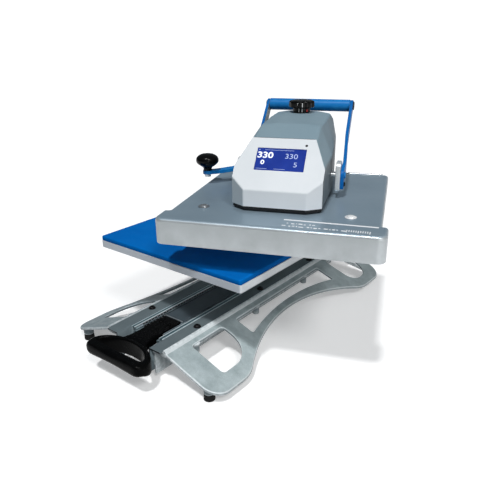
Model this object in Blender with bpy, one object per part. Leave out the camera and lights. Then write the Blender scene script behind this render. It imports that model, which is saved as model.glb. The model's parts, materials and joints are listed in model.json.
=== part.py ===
"""Swing-away heat press with a pull-out lower platen. Lengths below are in millimetres
and are turned into metres when a mesh is made. +X is the operator's right, +Y the back
and +Z up. Plan points of the base are measured from the front end of the rails on their
centre line; points of the head are (u, v, z) from the column, u right and v back."""

import math

import bmesh
import bpy
from mathutils import Matrix, Vector

MM = 0.001

# ---- where the object's origin lies in the plan of the base -------------------------
ORIGIN_X = 105.523
ORIGIN_Y = 351.0

# ---- column and swing ---------------------------------------------------------------
COLUMN_Y = 703.0
SWING_REST_DEG = 22.21
POST_R = 25.0
POST_Z = (230.4, 408.0)
CASTING_TOP = 318.0
COLUMN_PLATE = (105.0, 645.0, 762.0, 74.6, 88.0)
HUB_R = 45.0
HUB_BORE_R = 29.5
HUB_Z = (318.6, 404.0)

# ---- base castings ------------------------------------------------------------------
WING_IN = 79.5
WING_OUT = 218.0
WING_FRONT, WING_REAR = 7.0, 722.0
WING_TOP = 73.3
WING_SLOPE = 0.365
WING_THICK = 6.5
WING_CORNER_R = (38.0, 42.0)
ARCH_R, ARCH_APEX, ARCH_Y = 450.0, 146.0, 358.0
BOW_R, BOW_APEX, BOW_Y = 645.0, 128.0, 377.0
LEDGE = (50.9, 84.0, 61.0, 71.0)
WEB = (50.9, 57.0, 11.5, 66.0)
BOSS_X, BOSS_R, BOSS_Z, BOSS_YS = 96.8, 8.0, (41.0, 64.0), (82.0, 288.0, 496.0)
FOOT_X, FOOT_YS, FOOT_R, FOOT_H = 184.3, (23.5, 700.0), 11.5, 13.7
FOOT_BOSS_R, FOOT_BOSS_LOW = 11.0, 14.0

# ---- rails, slides and carriage -----------------------------------------------------
RAIL_IN, RAIL_OUT, RAIL_T = 47.6, 78.9, 3.0
RAIL_TOP, RAIL_LOW = 74.3, 20.0
RAIL_END = 760.0
SCREW_X, SCREW_YS = 69.2, (118.0, 343.0, 568.0)
SCREW_HEAD_R, SCREW_HEAD_H, SCREW_R, SCREW_LEN = 7.5, 4.8, 3.0, 11.0
SLIDE_Y = {"outer": (38.0, 560.0), "mid": (40.0, 520.0), "inner": (38.0, 548.0)}
CARRIAGE_HALF, CARRIAGE_TOP, CARRIAGE_LOW, CARRIAGE_T = 28.5, 68.0, 30.0, 3.0
CARRIAGE_Y = (62.0, 556.0)

# ---- draw handle --------------------------------------------------------------------
PULL_HALF, PULL_Z = 83.0, (45.0, 71.0)
PULL_FRONT, PULL_MID, PULL_BACK = -60.0, -42.0, 8.0
PULL_ROUND = ((0.0, 8.5), (2.6, 3.6), (9.0, 0.0))
FINGER_HALF, FINGER_FRONT, FINGER_BACK = 68.0, -40.0, -3.0
NECK = (26.0, 1.5, 60.0, 54.0, 72.0)
APRON_HALF, APRON_FRONT, APRON_BACK, APRON_Z = 77.0, -36.0, 5.0, (34.0, 50.0)
TONGUE = (26.0, 55.0, 115.0, 68.4, 72.0)

# ---- lower platen -------------------------------------------------------------------
PLATEN_HALF = 203.0
PLATEN_Y = (100.0, 506.0)
LOWER_Z = (198.5, 214.4)
PAD_Z = (214.7, 225.4)
PAD_INSET = 0.5

# ---- upper platen -------------------------------------------------------------------
TRAVEL = 47.0
HEAT_HALF, HEAT_V, HEAT_Z = 202.8, (-606.0, -200.0), (273.0, 300.0)
COVER_HALF, COVER_V, COVER_TOP, COVER_LOW = 204.0, (-563.9, -176.7), 329.3, 300.6
BUMPER_HALF, BUMPER_FRONT, BUMPER_LOW, BUMPER_R = 215.5, -621.7, 278.3, 18.0
COVER_T = 3.0
COVER_HOLE = (33.0, -524.0, -276.0)
CARRIER = (28.0, -520.0, -282.0, 300.4, 312.0)
COVER_BOLT = (145.0, -530.0)

# ---- housing ------------------------------------------------------------------------
HOUSE_Z = 338.8
TRAY_Z = (332.2, 344.0)
TRAY_FLANGE_Z = 338.5
TRAY_HOLE = (30.0, -520.0, -284.0)
FRONT = [(62.0, -537.0, 372.0), (89.0, -518.0, 391.0), (89.0, -499.0, 410.0), (64.0, -452.0, 457.0)]
SHELL_T = 3.0
REAR_T = 2.6
RIM_BACK = 5.0
# back along the housing: v, half-width, shoulder z, roof half-width, roof z, crown z
SECTIONS = [
    (-386.0, 89.0, 413.0, 62.2, 473.5, 476.5),
    (-300.0, 83.0, 417.5, 63.5, 477.5, 483.0),
    (-232.0, 77.3, 421.0, 62.4, 479.0, 484.0),
    (-205.0, 75.0, 422.0, 66.0, 466.0, 468.0),
]
CROWN_HALF = 32.0
SCREEN = (98.0, 45.3, 96.7)
SCREEN_T = 2.2
BOARD = (116.0, 52.0, 112.0, 8.0, 2.0)
INLET_U, SWITCH_U, PANEL_Z = 54.0, -54.0, 378.0

# ---- swing arm ----------------------------------------------------------------------
ARM_HALF, ARM_V, ARM_Z = 34.0, (-490.0, -30.0), (344.4, 394.0)
LUG_HALF, LUG_V, LUG_Z = 20.0, (-513.0, -484.0), (344.4, 380.0)
POCKET = (18.0, -481.0, -336.0)
POSTS = ((-499.0, 7.0, 394.0), (-296.0, 7.0, 440.0))

# ---- handle and cam -----------------------------------------------------------------
PIVOT_V, PIVOT_Z = -395.0, 376.0
HANDLE_DEG = 125.0
GRIP_DV, GRIP_DZ, GRIP_R, GRIP_HALF = 248.0, 111.0, 14.0, 98.2
BAR_U, BAR_T, BAR_W, BAR_STRAIGHT, BAR_TAIL = 109.4, 7.0, 26.0, 36.0, 28.0
BAR_KNEE, BAR_SPLAY = (170.0, 48.0), (10.6, 10.8)
HUBBLOCK_U, HUBBLOCK_HALF, HUBBLOCK_Z = (99.8, 109.1), 19.0, (-31.0, 29.0)
SHAFT_R, SHAFT_HALF, STUB_R, STUB_HALF = 10.0, 82.0, 4.5, 116.7
CAM_R0, PIN_R, SLOT_HALF, BAND_HALF = 22.0, 6.0, 6.4, 12.4
CAM_HALF, CAM_HUB_R, CAM_HUB_HALF = 5.0, 18.0, 6.5
EAR_U, EAR_HALF_V, EAR_TOP = (7.2, 14.0), 14.0, 9.0

# ---- pressure knob and side lever ---------------------------------------------------
KNOB_V, KNOB_Z = -262.0, 484.4
NUT_Z = (425.0, 441.0)
LEVER_FROM, LEVER_TO, LEVER_W, LEVER_Z = (-34.6, -241.0), (-199.0, -351.0), 22.0, (351.0, 359.0)
LEVER_FLAT, LEVER_RISE = 26.0, 0.075


for old in list(bpy.data.objects):
    bpy.data.objects.remove(old, do_unlink=True)

FINISH = {
    "cast": ((0.36, 0.41, 0.44), 0.45, 0.6),
    "dark_steel": ((0.08, 0.10, 0.12), 0.5, 0.3),
    "zinc": ((0.60, 0.66, 0.74), 0.3, 1.0),
    "black": ((0.015, 0.015, 0.017), 0.35, 0.0),
    "rubber": ((0.02, 0.02, 0.02), 0.8, 0.0),
    "aluminium": ((0.70, 0.72, 0.74), 0.35, 1.0),
    "pad_blue": ((0.0, 0.13, 0.48), 0.55, 0.0),
    "cover": ((0.20, 0.26, 0.31), 0.4, 0.4),
    "bezel": ((0.62, 0.67, 0.72), 0.4, 0.1),
    "shell": ((0.25, 0.32, 0.36), 0.45, 0.3),
    "handle_blue": ((0.01, 0.11, 0.42), 0.4, 0.1),
    "chrome": ((0.75, 0.77, 0.80), 0.15, 1.0),
    "steel": ((0.45, 0.47, 0.50), 0.35, 1.0),
    "iron": ((0.12, 0.12, 0.13), 0.6, 0.7),
    "bronze": ((0.55, 0.36, 0.15), 0.35, 1.0),
    "board": ((0.02, 0.20, 0.08), 0.5, 0.0),
    "screen": ((0.01, 0.04, 0.30), 0.2, 0.0),
}


# ---- mesh helpers -------------------------------------------------------------------
def place(name, bm, finish, parent=None, smooth=None):
    """Make one object from a mesh in millimetres, with its own material."""
    bmesh.ops.recalc_face_normals(bm, faces=bm.faces)
    bmesh.ops.scale(bm, vec=(MM, MM, MM), verts=bm.verts)
    mesh = bpy.data.meshes.new(name)
    bm.to_mesh(mesh)
    bm.free()
    return link(name, mesh, finish, parent, smooth)


def link(name, mesh, finish, parent, smooth):
    obj = bpy.data.objects.new(name, mesh)
    bpy.context.scene.collection.objects.link(obj)
    colour, rough, metal = FINISH[finish]
    material = bpy.data.materials.new("mat_" + name)
    material.use_nodes = True
    shader = material.node_tree.nodes["Principled BSDF"]
    shader.inputs["Base Color"].default_value = (*colour, 1.0)
    shader.inputs["Roughness"].default_value = rough
    shader.inputs["Metallic"].default_value = metal
    mesh.materials.append(material)
    if smooth:
        mesh.shade_smooth()
        mesh.set_sharp_from_angle(angle=math.radians(smooth))
    obj.parent = parent
    return obj


def solid(bm):
    """A bare object, used as the other half of a join or a cut."""
    bmesh.ops.recalc_face_normals(bm, faces=bm.faces)
    bmesh.ops.scale(bm, vec=(MM, MM, MM), verts=bm.verts)
    mesh = bpy.data.meshes.new("tool")
    bm.to_mesh(mesh)
    bm.free()
    obj = bpy.data.objects.new("tool", mesh)
    bpy.context.scene.collection.objects.link(obj)
    obj.hide_render = True
    obj.display_type = "WIRE"
    return obj


def combine(obj, bm, operation, smooth=None):
    """Join bm to obj, or cut it from obj, while both still lie in the same frame."""
    other = solid(bm)
    parent, obj.parent = obj.parent, None
    change = obj.modifiers.new("change", "BOOLEAN")
    change.operation = operation
    change.solver = "EXACT"
    change.object = other
    bpy.context.view_layer.update()
    graph = bpy.context.evaluated_depsgraph_get()
    mesh = bpy.data.meshes.new_from_object(obj.evaluated_get(graph))
    material = obj.data.materials[0]
    obj.modifiers.clear()
    obj.data = mesh
    if not mesh.materials:
        mesh.materials.append(material)
    bpy.data.objects.remove(other, do_unlink=True)
    obj.parent = parent
    if smooth:
        mesh.shade_smooth()
        mesh.set_sharp_from_angle(angle=math.radians(smooth))
    return obj


def join(obj, bm, smooth=None):
    return combine(obj, bm, "UNION", smooth)


def cut(obj, bm, smooth=None):
    return combine(obj, bm, "DIFFERENCE", smooth)


def loft(rings, caps=True):
    """A closed mesh through rings of equally many points."""
    bm = bmesh.new()
    made = [[bm.verts.new(p) for p in ring] for ring in rings]
    count = len(rings[0])
    for low, high in zip(made, made[1:]):
        for i in range(count):
            j = (i + 1) % count
            bm.faces.new((low[i], low[j], high[j], high[i]))
    if caps:
        bm.faces.new(made[0])
        bm.faces.new(made[-1])
    return bm


def prism(outline, z0, z1):
    return loft([[(x, y, z0) for x, y in outline], [(x, y, z1) for x, y in outline]])


def prism_y(outline, y0, y1):
    return loft([[(x, y0, z) for x, z in outline], [(x, y1, z) for x, z in outline]])


def prism_x(outline, x0, x1):
    return loft([[(x0, y, z) for y, z in outline], [(x1, y, z) for y, z in outline]])


def box(x0, x1, y0, y1, z0, z1):
    return prism([(x0, y0), (x1, y0), (x1, y1), (x0, y1)], z0, z1)


def circle(cx, cy, r, count):
    return [(cx + r * math.cos(2 * math.pi * i / count), cy + r * math.sin(2 * math.pi * i / count)) for i in range(count)]


def cylinder(cx, cy, r, z0, z1, count=20):
    return prism(circle(cx, cy, r, count), z0, z1)


def cylinder_x(cy, cz, r, x0, x1, count=20):
    return prism_x(circle(cy, cz, r, count), x0, x1)


def turned(profile, count=24, centre=(0.0, 0.0)):
    """A round body from (radius, z) points, from the axis at one end to the axis at the other."""
    bm = bmesh.new()
    rows = []
    for r, z in profile:
        if r < 1e-6:
            rows.append([bm.verts.new((centre[0], centre[1], z))] * count)
        else:
            rows.append([bm.verts.new((x, y, z)) for x, y in circle(centre[0], centre[1], r, count)])
    for low, high in zip(rows, rows[1:]):
        for i in range(count):
            j = (i + 1) % count
            corners = []
            for vert in (low[i], low[j], high[j], high[i]):
                if vert not in corners:
                    corners.append(vert)
            if len(corners) > 2:
                bm.faces.new(corners)
    return bm


def tube(r_in, r_out, z0, z1, count=24, flange=None):
    """A round sleeve along Z, with an optional (radius, height) flange at its upper end."""
    loop = [(r_in, z0), (r_out, z0), (r_out, z1)]
    if flange:
        loop += [(flange[0], z1), (flange[0], z1 + flange[1])]
        z1 += flange[1]
    loop += [(r_in, z1)] if not flange else [(r_in, z1)]
    bm = bmesh.new()
    rows = [[bm.verts.new((x, y, z)) for x, y in circle(0, 0, r, count)] for r, z in loop]
    for a, b in zip(rows, rows[1:] + rows[:1]):
        for i in range(count):
            j = (i + 1) % count
            bm.faces.new((a[i], a[j], b[j], b[i]))
    return bm


def fillet(points, radii, steps=5):
    """An outline with its corners rounded."""
    out = []
    count = len(points)
    for i, (point, r) in enumerate(zip(points, radii)):
        p = Vector(point)
        before, after = Vector(points[i - 1]), Vector(points[(i + 1) % count])
        a, b = (before - p).normalized(), (after - p).normalized()
        if r <= 0:
            out.append(tuple(p))
            continue
        half = a.angle(b) / 2
        start, end = p + a * (r / math.tan(half)), p + b * (r / math.tan(half))
        centre = p + (a + b).normalized() * (r / math.sin(half))
        first, last = start - centre, end - centre
        turn = first.angle_signed(last)
        for k in range(steps + 1):
            angle = -turn * k / steps
            c, s = math.cos(angle), math.sin(angle)
            out.append((centre.x + first.x * c - first.y * s, centre.y + first.x * s + first.y * c))
    return out


def curve3(p0, p1, p2, steps):
    """Points of a quadratic curve, both ends included."""
    return [
        tuple(Vector(p0) * (1 - t) ** 2 + Vector(p1) * 2 * t * (1 - t) + Vector(p2) * t * t)
        for t in (k / steps for k in range(steps + 1))
    ]


def bow_x(y, radius, apex, middle):
    return apex + radius - math.sqrt(radius * radius - (y - middle) ** 2)


def shifted(bm, matrix):
    bmesh.ops.transform(bm, matrix=matrix, verts=bm.verts)
    return bm


def mirrored(bm, side):
    if side < 0:
        bmesh.ops.scale(bm, vec=(-1, 1, 1), verts=bm.verts)
    return bm


def empty(name, location, parent=None, turn=0.0):
    obj = bpy.data.objects.new(name, None)
    bpy.context.scene.collection.objects.link(obj)
    obj.location = [c * MM for c in location]
    obj.rotation_euler = (0.0, 0.0, turn)
    obj.parent = parent
    return obj


# ---- frames of the moving bodies ----------------------------------------------------
base = empty("base_frame", (-ORIGIN_X, -ORIGIN_Y, 0.0))
drawer = empty("drawer_frame", (0, 0, 0), base)
head = empty("swing_axis", (0, COLUMN_Y, 0), base, math.radians(SWING_REST_DEG))
platen = empty("platen_frame", (0, 0, 0), head)
lever = empty("handle_axis", (0, PIVOT_V, PIVOT_Z), head)
knob_axis = empty("knob_axis", (0, KNOB_V, KNOB_Z), head)
switch_axis = empty("switch_axis", (SWITCH_U, -203.0, PANEL_Z), head)

SIDES = (("right", 1), ("left", -1))


# ---- base ---------------------------------------------------------------------------
def wing_outline():
    front, rear = 138.0, 2 * ARCH_Y - 138.0
    arch = lambda y: (bow_x(y, ARCH_R, ARCH_APEX, ARCH_Y), y)
    ends = fillet(
        [(WING_IN, WING_FRONT), (WING_OUT, WING_FRONT), (WING_OUT, WING_REAR), (WING_IN, WING_REAR)],
        [0, WING_CORNER_R[0], WING_CORNER_R[1], 0],
        7,
    )
    lower, upper = [p for p in ends if p[1] < 300], [p for p in ends if p[1] > 300]
    steps = 14
    middle = [arch(front + (rear - front) * k / steps) for k in range(1, steps)]
    return (
        lower
        + curve3((WING_OUT, 90.0), (WING_OUT, 114.0), arch(front), 6)
        + middle
        + curve3(arch(rear), (WING_OUT, 602.0), (WING_OUT, 626.0), 6)
        + upper
    )


def wing_windows():
    front = fillet([(101, 66.5), (184.7, 66.5), (184.7, 163), (101, 163)], [6, 8, 60, 10], 6)
    rear = fillet([(101, 605), (190.5, 605), (190.5, 692), (101, 692)], [8, 30, 45, 8], 6)
    y0, y1, steps = 207.0, 555.0, 14
    outer = [(bow_x(y, BOW_R, BOW_APEX, BOW_Y), y) for y in (y0 + (y1 - y0) * k / steps for k in range(steps + 1))]
    middle = fillet([(103, y0)] + outer + [(103, y1)], [6, 7] + [0] * (steps - 1) + [7, 6], 4)
    return front, middle, rear


def wing(side):
    plate = solid(prism(wing_outline(), -WING_THICK, 0.0))
    plate.data.materials.append(bpy.data.materials.new("unused"))
    for window in wing_windows():
        cut(plate, prism(window, -WING_THICK - 5, 5.0))
    bm = bmesh.new()
    bm.from_mesh(plate.data)
    bmesh.ops.scale(bm, vec=(1 / MM, 1 / MM, 1 / MM), verts=bm.verts)
    bpy.data.objects.remove(plate, do_unlink=True)
    for vert in bm.verts:
        vert.co.z += WING_TOP - WING_SLOPE * (vert.co.x - WING_IN)
    bmesh.ops.triangulate(bm, faces=[f for f in bm.faces if len(f.verts) > 4])
    name = "wing_right" if side > 0 else "wing_left"
    obj = place(name, mirrored(bm, side), "cast")
    parts = [box(LEDGE[0], LEDGE[1], WING_FRONT + 0.4, WING_REAR - 0.4, LEDGE[2], LEDGE[3])]
    parts.append(box(WEB[0], WEB[1], WING_FRONT + 0.8, WING_REAR - 0.8, WEB[2], WEB[3]))
    parts += [cylinder(BOSS_X, y, BOSS_R, *BOSS_Z, count=12) for y in BOSS_YS]
    for y in FOOT_YS:
        ring = circle(FOOT_X, y, FOOT_BOSS_R, 16)
        under = [(x, yy, WING_TOP - WING_SLOPE * (x - WING_IN) - WING_THICK / 2) for x, yy in ring]
        parts.append(loft([[(x, yy, FOOT_BOSS_LOW) for x, yy in ring], under]))
    for part in parts:
        join(obj, mirrored(part, side))
    for y in SCREW_YS:
        cut(obj, mirrored(cylinder(SCREW_X, y, SCREW_R + 0.35, 40, 90, count=12), side), 40)
    obj.parent = base


for label, side in SIDES:
    wing(side)
    rail = place(
        "rail_" + label,
        mirrored(
            prism_y(
                [
                    (RAIL_IN, RAIL_LOW),
                    (RAIL_IN + RAIL_T, RAIL_LOW),
                    (RAIL_IN + RAIL_T, RAIL_TOP - RAIL_T),
                    (RAIL_OUT, RAIL_TOP - RAIL_T),
                    (RAIL_OUT, RAIL_TOP),
                    (RAIL_IN, RAIL_TOP),
                ],
                0.0,
                RAIL_END,
            ),
            side,
        ),
        "dark_steel",
    )
    for y in SCREW_YS:
        cut(rail, mirrored(cylinder(SCREW_X, y, SCREW_R + 0.35, 60, 90, count=12), side))
    rail.parent = base
    for number, y in enumerate(SCREW_YS, 1):
        top = RAIL_TOP + 0.3
        profile = [
            (0, top + SCREW_HEAD_H - 1.6),
            (2.0, top + SCREW_HEAD_H - 1.6),
            (2.2, top + SCREW_HEAD_H),
            (SCREW_HEAD_R - 1.6, top + SCREW_HEAD_H * 0.85),
            (SCREW_HEAD_R, top + SCREW_HEAD_H * 0.45),
            (SCREW_HEAD_R, top),
            (SCREW_R, top),
            (SCREW_R, top - SCREW_LEN),
            (0, top - SCREW_LEN),
        ]
        place(f"rail_screw_{label}_{number}", mirrored(turned(profile, 12, (SCREW_X, y)), side), "black", base, 40)
    for end, y in zip(("front", "rear"), FOOT_YS):
        profile = [(0, 0), (FOOT_R - 1.5, 0), (FOOT_R, 1.5), (FOOT_R - 1.0, FOOT_H), (0, FOOT_H)]
        place(f"foot_{end}_{label}", mirrored(turned(profile, 20, (FOOT_X, y)), side), "rubber", base, 40)
    outer = [(47.3, 22), (47.3, 74), (37, 74), (37, 72), (45.3, 72), (45.3, 24), (37, 24), (37, 22)]
    place("slide_outer_" + label, mirrored(prism_y(outer, *SLIDE_Y["outer"]), side), "zinc", base)
    mid = [(33.2, 26), (44.6, 26), (44.6, 28), (40.4, 28), (40.4, 68), (44.6, 68)]
    mid += [(44.6, 70), (33.2, 70), (33.2, 68), (38.4, 68), (38.4, 28), (33.2, 28)]
    place("slide_mid_" + label, mirrored(prism_y(mid, *SLIDE_Y["mid"]), side), "zinc", drawer)
    inner = [(28.9, 30), (37.4, 30), (37.4, 32), (30.9, 32), (30.9, 64), (37.4, 64), (37.4, 66), (28.9, 66)]
    place("slide_inner_" + label, mirrored(prism_y(inner, *SLIDE_Y["inner"]), side), "zinc", drawer)

half, y0, y1, z0, z1 = COLUMN_PLATE
casting = place("column_casting", prism(fillet([(-half, y0), (half, y0), (half, y1), (-half, y1)], [14] * 4), z0, z1), "cast")
join(casting, turned([(0, z0 + 4), (58, z0 + 4), (56, z1 + 8), (48, z1 + 30), (44, CASTING_TOP), (0, CASTING_TOP)], 28, (0, COLUMN_Y)))
for angle in (40, 140, 220, 320):
    rib = prism_x([(30, z1 - 6), (84, z1 - 6), (84, z1 + 4), (34, z1 + 90), (30, z1 + 90)], -5, 5)
    spin = Matrix.Rotation(math.radians(angle - 90), 4, "Z")
    squash = 1.0 if angle in (40, 140) else 0.86
    for vert in rib.verts:
        vert.co.y = 30 + (vert.co.y - 30) * squash
    join(casting, shifted(rib, Matrix.Translation((0, COLUMN_Y, 0)) @ spin))
cut(casting, cylinder(0, COLUMN_Y, POST_R + 0.4, POST_Z[0] - 0.4, CASTING_TOP + 10, 28), 40)
casting.parent = base
place("column_post", cylinder(0, COLUMN_Y, POST_R, *POST_Z, count=28), "steel", base, 40)

# ---- drawer -------------------------------------------------------------------------
half, top, low, thick = CARRIAGE_HALF, CARRIAGE_TOP, CARRIAGE_LOW, CARRIAGE_T
channel = [(-half, low), (-half + thick, low), (-half + thick, top - thick), (half - thick, top - thick)]
channel += [(half - thick, low), (half, low), (half, top), (-half, top)]
place("carriage_plate", prism_y(channel, *CARRIAGE_Y), "dark_steel", drawer)

steps = 20
back = [
    (PULL_HALF * math.cos(math.pi * k / steps), PULL_MID + (PULL_BACK - PULL_MID) * math.sin(math.pi * k / steps))
    for k in range(steps + 1)
]
corners = fillet([(-PULL_HALF, PULL_MID), (-PULL_HALF + 3, PULL_FRONT), (PULL_HALF - 3, PULL_FRONT), (PULL_HALF, PULL_MID)], [0, 12, 12, 0], 4)
ring = back + corners[1:-1]
middle_y = (PULL_FRONT + PULL_BACK) / 2
z0, z1 = PULL_Z


def pull_ring(z, inset):
    return [(x * (1 - inset / PULL_HALF), middle_y + (y - middle_y) * (1 - inset / 35.0), z) for x, y in ring]


pull_rings = [pull_ring(z0 + rise, inset) for rise, inset in PULL_ROUND]
pull_rings += [pull_ring(z1 - rise, inset) for rise, inset in reversed(PULL_ROUND)]
pull = place("draw_handle", loft(pull_rings), "black")
# the body behind the finger hole hangs lower than the bar
apron = [
    (APRON_HALF * math.cos(math.pi * k / steps), APRON_FRONT + (APRON_BACK - APRON_FRONT) * math.sin(math.pi * k / steps))
    for k in range(steps + 1)
]
join(pull, prism(apron, *APRON_Z))
finger = [
    (FINGER_HALF * math.cos(math.pi * k / steps), FINGER_FRONT + (FINGER_BACK - FINGER_FRONT) * math.sin(math.pi * k / steps))
    for k in range(steps + 1)
]
cut(pull, prism(finger, APRON_Z[0] - 5, z1 + 5))
half, y0, y1, z0, z1 = NECK
join(pull, box(-half, half, y0, y1, z0, z1))
half, y0, y1, z0, z1 = TONGUE
join(pull, box(-half + 0.6, half - 0.6, y0, y1, z0, z1 - 0.4), 40)
pull.parent = drawer

rings = []
for z, half, y0, y1 in (
    (68.4, 22, 360, 480),
    (84, 22, 360, 480),
    (98, 46, 350, 490),
    (172, 46, 350, 490),
    (186, 110, 290, 500),
    (198.1, 110, 290, 500),
):
    rings.append([(x, y, z) for x, y in fillet([(-half, y0), (half, y0), (half, y1), (-half, y1)], [8] * 4, 3)])
place("pedestal", loft(rings), "cast", drawer, 40)
square = [(-PLATEN_HALF, PLATEN_Y[0]), (PLATEN_HALF, PLATEN_Y[0]), (PLATEN_HALF, PLATEN_Y[1]), (-PLATEN_HALF, PLATEN_Y[1])]
place("lower_plate", prism(fillet(square, [5] * 4, 3), *LOWER_Z), "aluminium", drawer)
half, y0, y1 = PLATEN_HALF - PAD_INSET, PLATEN_Y[0] + PAD_INSET, PLATEN_Y[1] - PAD_INSET
place("silicone_pad", prism(fillet([(-half, y0), (half, y0), (half, y1), (-half, y1)], [5] * 4, 3), *PAD_Z), "pad_blue", drawer)

# ---- head: swing arm and its bearings -----------------------------------------------
arm = place("swing_arm", cylinder(0, 0, HUB_R, *HUB_Z, count=32), "iron")
join(arm, box(-ARM_HALF, ARM_HALF, *ARM_V, *ARM_Z))
join(arm, box(-LUG_HALF, LUG_HALF, *LUG_V, *LUG_Z))
cut(arm, cylinder(0, 0, HUB_BORE_R, HUB_Z[0] - 9, HUB_Z[1] + 9, 28))
cut(arm, box(-POCKET[0], POCKET[0], POCKET[1], POCKET[2], ARM_Z[0] - 9, ARM_Z[1] + 9))
cut(arm, cylinder_x(PIVOT_V, PIVOT_Z, 13.0, -60, 60, 20))
for v, r, _ in POSTS:
    cut(arm, cylinder(0, v, r + 0.5, ARM_Z[0] - 9, ARM_Z[1] + 9, 16), 40)
arm.parent = head
place("hub_bush", tube(POST_R + 0.3, HUB_BORE_R - 0.3, HUB_Z[0] + 0.6, HUB_Z[1] - 0.4, 28), "bronze", head, 40)
place(
    "hub_cap",
    turned([(0, 410), (POST_R + 3, 410), (POST_R + 3, HUB_Z[1] + 0.4), (40, HUB_Z[1] + 0.4), (40, 411), (35, 417), (0, 418)], 28),
    "black",
    head,
    40,
)
to_x = Matrix.Rotation(math.radians(90), 4, "Y")
for label, side in SIDES:
    bush = shifted(tube(SHAFT_R + 0.3, 12.7, POCKET[0] + 0.6, ARM_HALF + 0.3, 20, (16.5, 3.0)), to_x)
    place("shaft_bush_" + label, mirrored(shifted(bush, Matrix.Translation((0, PIVOT_V, PIVOT_Z))), side), "bronze", head, 40)

# ---- head: housing ------------------------------------------------------------------
foot_print = [(61.5, -536.0), (88.4, -517.4), (88.4, -380.0), (74.4, -205.6)]
plan = foot_print + [(-u, v) for u, v in reversed(foot_print)]
tray = place("base_tray", prism(plan, TRAY_Z[0], TRAY_FLANGE_Z), "black")
# the raised middle stands inside the housing wall and meets the arm
raised = [(57.4, -532.6), (84.6, -514.6), (84.6, -380.0), (71.0, -209.4)]
join(tray, prism(raised + [(-u, v) for u, v in reversed(raised)], TRAY_FLANGE_Z - 1.0, TRAY_Z[1]))
cut(tray, box(-TRAY_HOLE[0], TRAY_HOLE[0], TRAY_HOLE[1], TRAY_HOLE[2], TRAY_Z[0] - 5, TRAY_Z[1] + 5))
tray.parent = head

SLOPE_UP = Vector((0, math.sqrt(0.5), math.sqrt(0.5)))
SLOPE_OUT = Vector((0, -math.sqrt(0.5), math.sqrt(0.5)))


def on_slope(u, s, depth=0.0):
    """A point of the sloping console face: s up the slope from its lower edge, depth behind it."""
    return tuple(Vector((u, FRONT[0][1], FRONT[0][2])) + SLOPE_UP * s - SLOPE_OUT * depth)


def shell(name, faces, finish, thick):
    """A sheet of flat faces made into a wall that grows inwards."""
    bm = bmesh.new()
    seen = {}
    for face in faces:
        bm.faces.new([seen.setdefault(tuple(round(c, 4) for c in p), None) or seen.__setitem__(tuple(round(c, 4) for c in p), bm.verts.new(p)) or seen[tuple(round(c, 4) for c in p)] for p in face])
    bmesh.ops.recalc_face_normals(bm, faces=bm.faces)
    middle = sum((v.co for v in bm.verts), Vector()) / len(bm.verts)
    outward = sum((f.calc_center_median() - middle).dot(f.normal) * f.calc_area() for f in bm.faces)
    if outward < 0:
        bmesh.ops.reverse_faces(bm, faces=bm.faces)
    bmesh.ops.scale(bm, vec=(MM, MM, MM), verts=bm.verts)
    mesh = bpy.data.meshes.new(name)
    bm.to_mesh(mesh)
    bm.free()
    obj = link(name, mesh, finish, None, None)
    wall = obj.modifiers.new("wall", "SOLIDIFY")
    wall.thickness = thick * MM
    wall.offset = -1.0
    wall.use_even_offset = True
    wall.use_rim = True
    bpy.context.view_layer.update()
    made = bpy.data.meshes.new_from_object(obj.evaluated_get(bpy.context.evaluated_depsgraph_get()))
    obj.modifiers.clear()
    obj.data = made
    return obj


def other(p):
    return (-p[0], p[1], p[2])


low0, low1 = (FRONT[0][0], FRONT[0][1], HOUSE_Z), (FRONT[1][0], FRONT[1][1], HOUSE_Z)
f0, f1, f2, f3 = FRONT
wide, s0, s1 = SCREEN[0] / 2, SCREEN[1], SCREEN[2]
hole = [on_slope(wide, s0), on_slope(wide, s1), on_slope(-wide, s1), on_slope(-wide, s0)]
faces = [
    [other(low0), low0, f0, other(f0)],
    [low0, low1, f1, f0],
    [other(low0), other(f0), other(f1), other(low1)],
    [f0, f1, f2, f3, hole[1], hole[0]],
    [other(f0), hole[3], hole[2], other(f3), other(f2), other(f1)],
    [other(f0), f0, hole[0], hole[3]],
    [f3, other(f3), hole[2], hole[1]],
]
bezel = shell("console_bezel", faces, "bezel", SHELL_T)
bezel.parent = head

rim = [(p[0], p[1] + RIM_BACK, p[2]) for p in (low1, f1, f2, f3)]
faces = []
bottom = [(w, v, HOUSE_Z) for v, w, _, _, _, _ in SECTIONS]
shoulder = [(w, v, z) for v, w, z, _, _, _ in SECTIONS]
roof = [(w, v, z) for v, _, _, w, z, _ in SECTIONS]
crown = [(CROWN_HALF, v, z) for v, _, _, _, _, z in SECTIONS]
brow = (CROWN_HALF, rim[3][1], rim[3][2])
for flip in (False, True):
    turn = (lambda p: other(p)) if flip else (lambda p: p)
    sheet = [[rim[0], bottom[0], shoulder[0], rim[2], rim[1]], [rim[2], shoulder[0], roof[0], rim[3]], [rim[3], roof[0], crown[0], brow]]
    for i in range(len(SECTIONS) - 1):
        sheet.append([bottom[i], bottom[i + 1], shoulder[i + 1], shoulder[i]])
        sheet.append([shoulder[i], shoulder[i + 1], roof[i + 1], roof[i]])
        sheet.append([roof[i], roof[i + 1], crown[i + 1], crown[i]])
    faces += [[turn(p) for p in face] for face in sheet]
faces.append([brow, crown[0], other(crown[0]), other(brow)])
for i in range(len(SECTIONS) - 1):
    faces.append([crown[i], crown[i + 1], other(crown[i + 1]), other(crown[i])])
outline = [bottom[-1], shoulder[-1], roof[-1], crown[-1]]
faces.append(outline + [other(p) for p in reversed(outline)])
rear = shell("rear_cover", faces, "shell", REAR_T)
cut(rear, cylinder_x(PIVOT_V, PIVOT_Z, STUB_R + 1.0, -120, 120, 14))
cut(rear, cylinder(0, KNOB_V, 7.0, 470, 500, 16))
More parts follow.
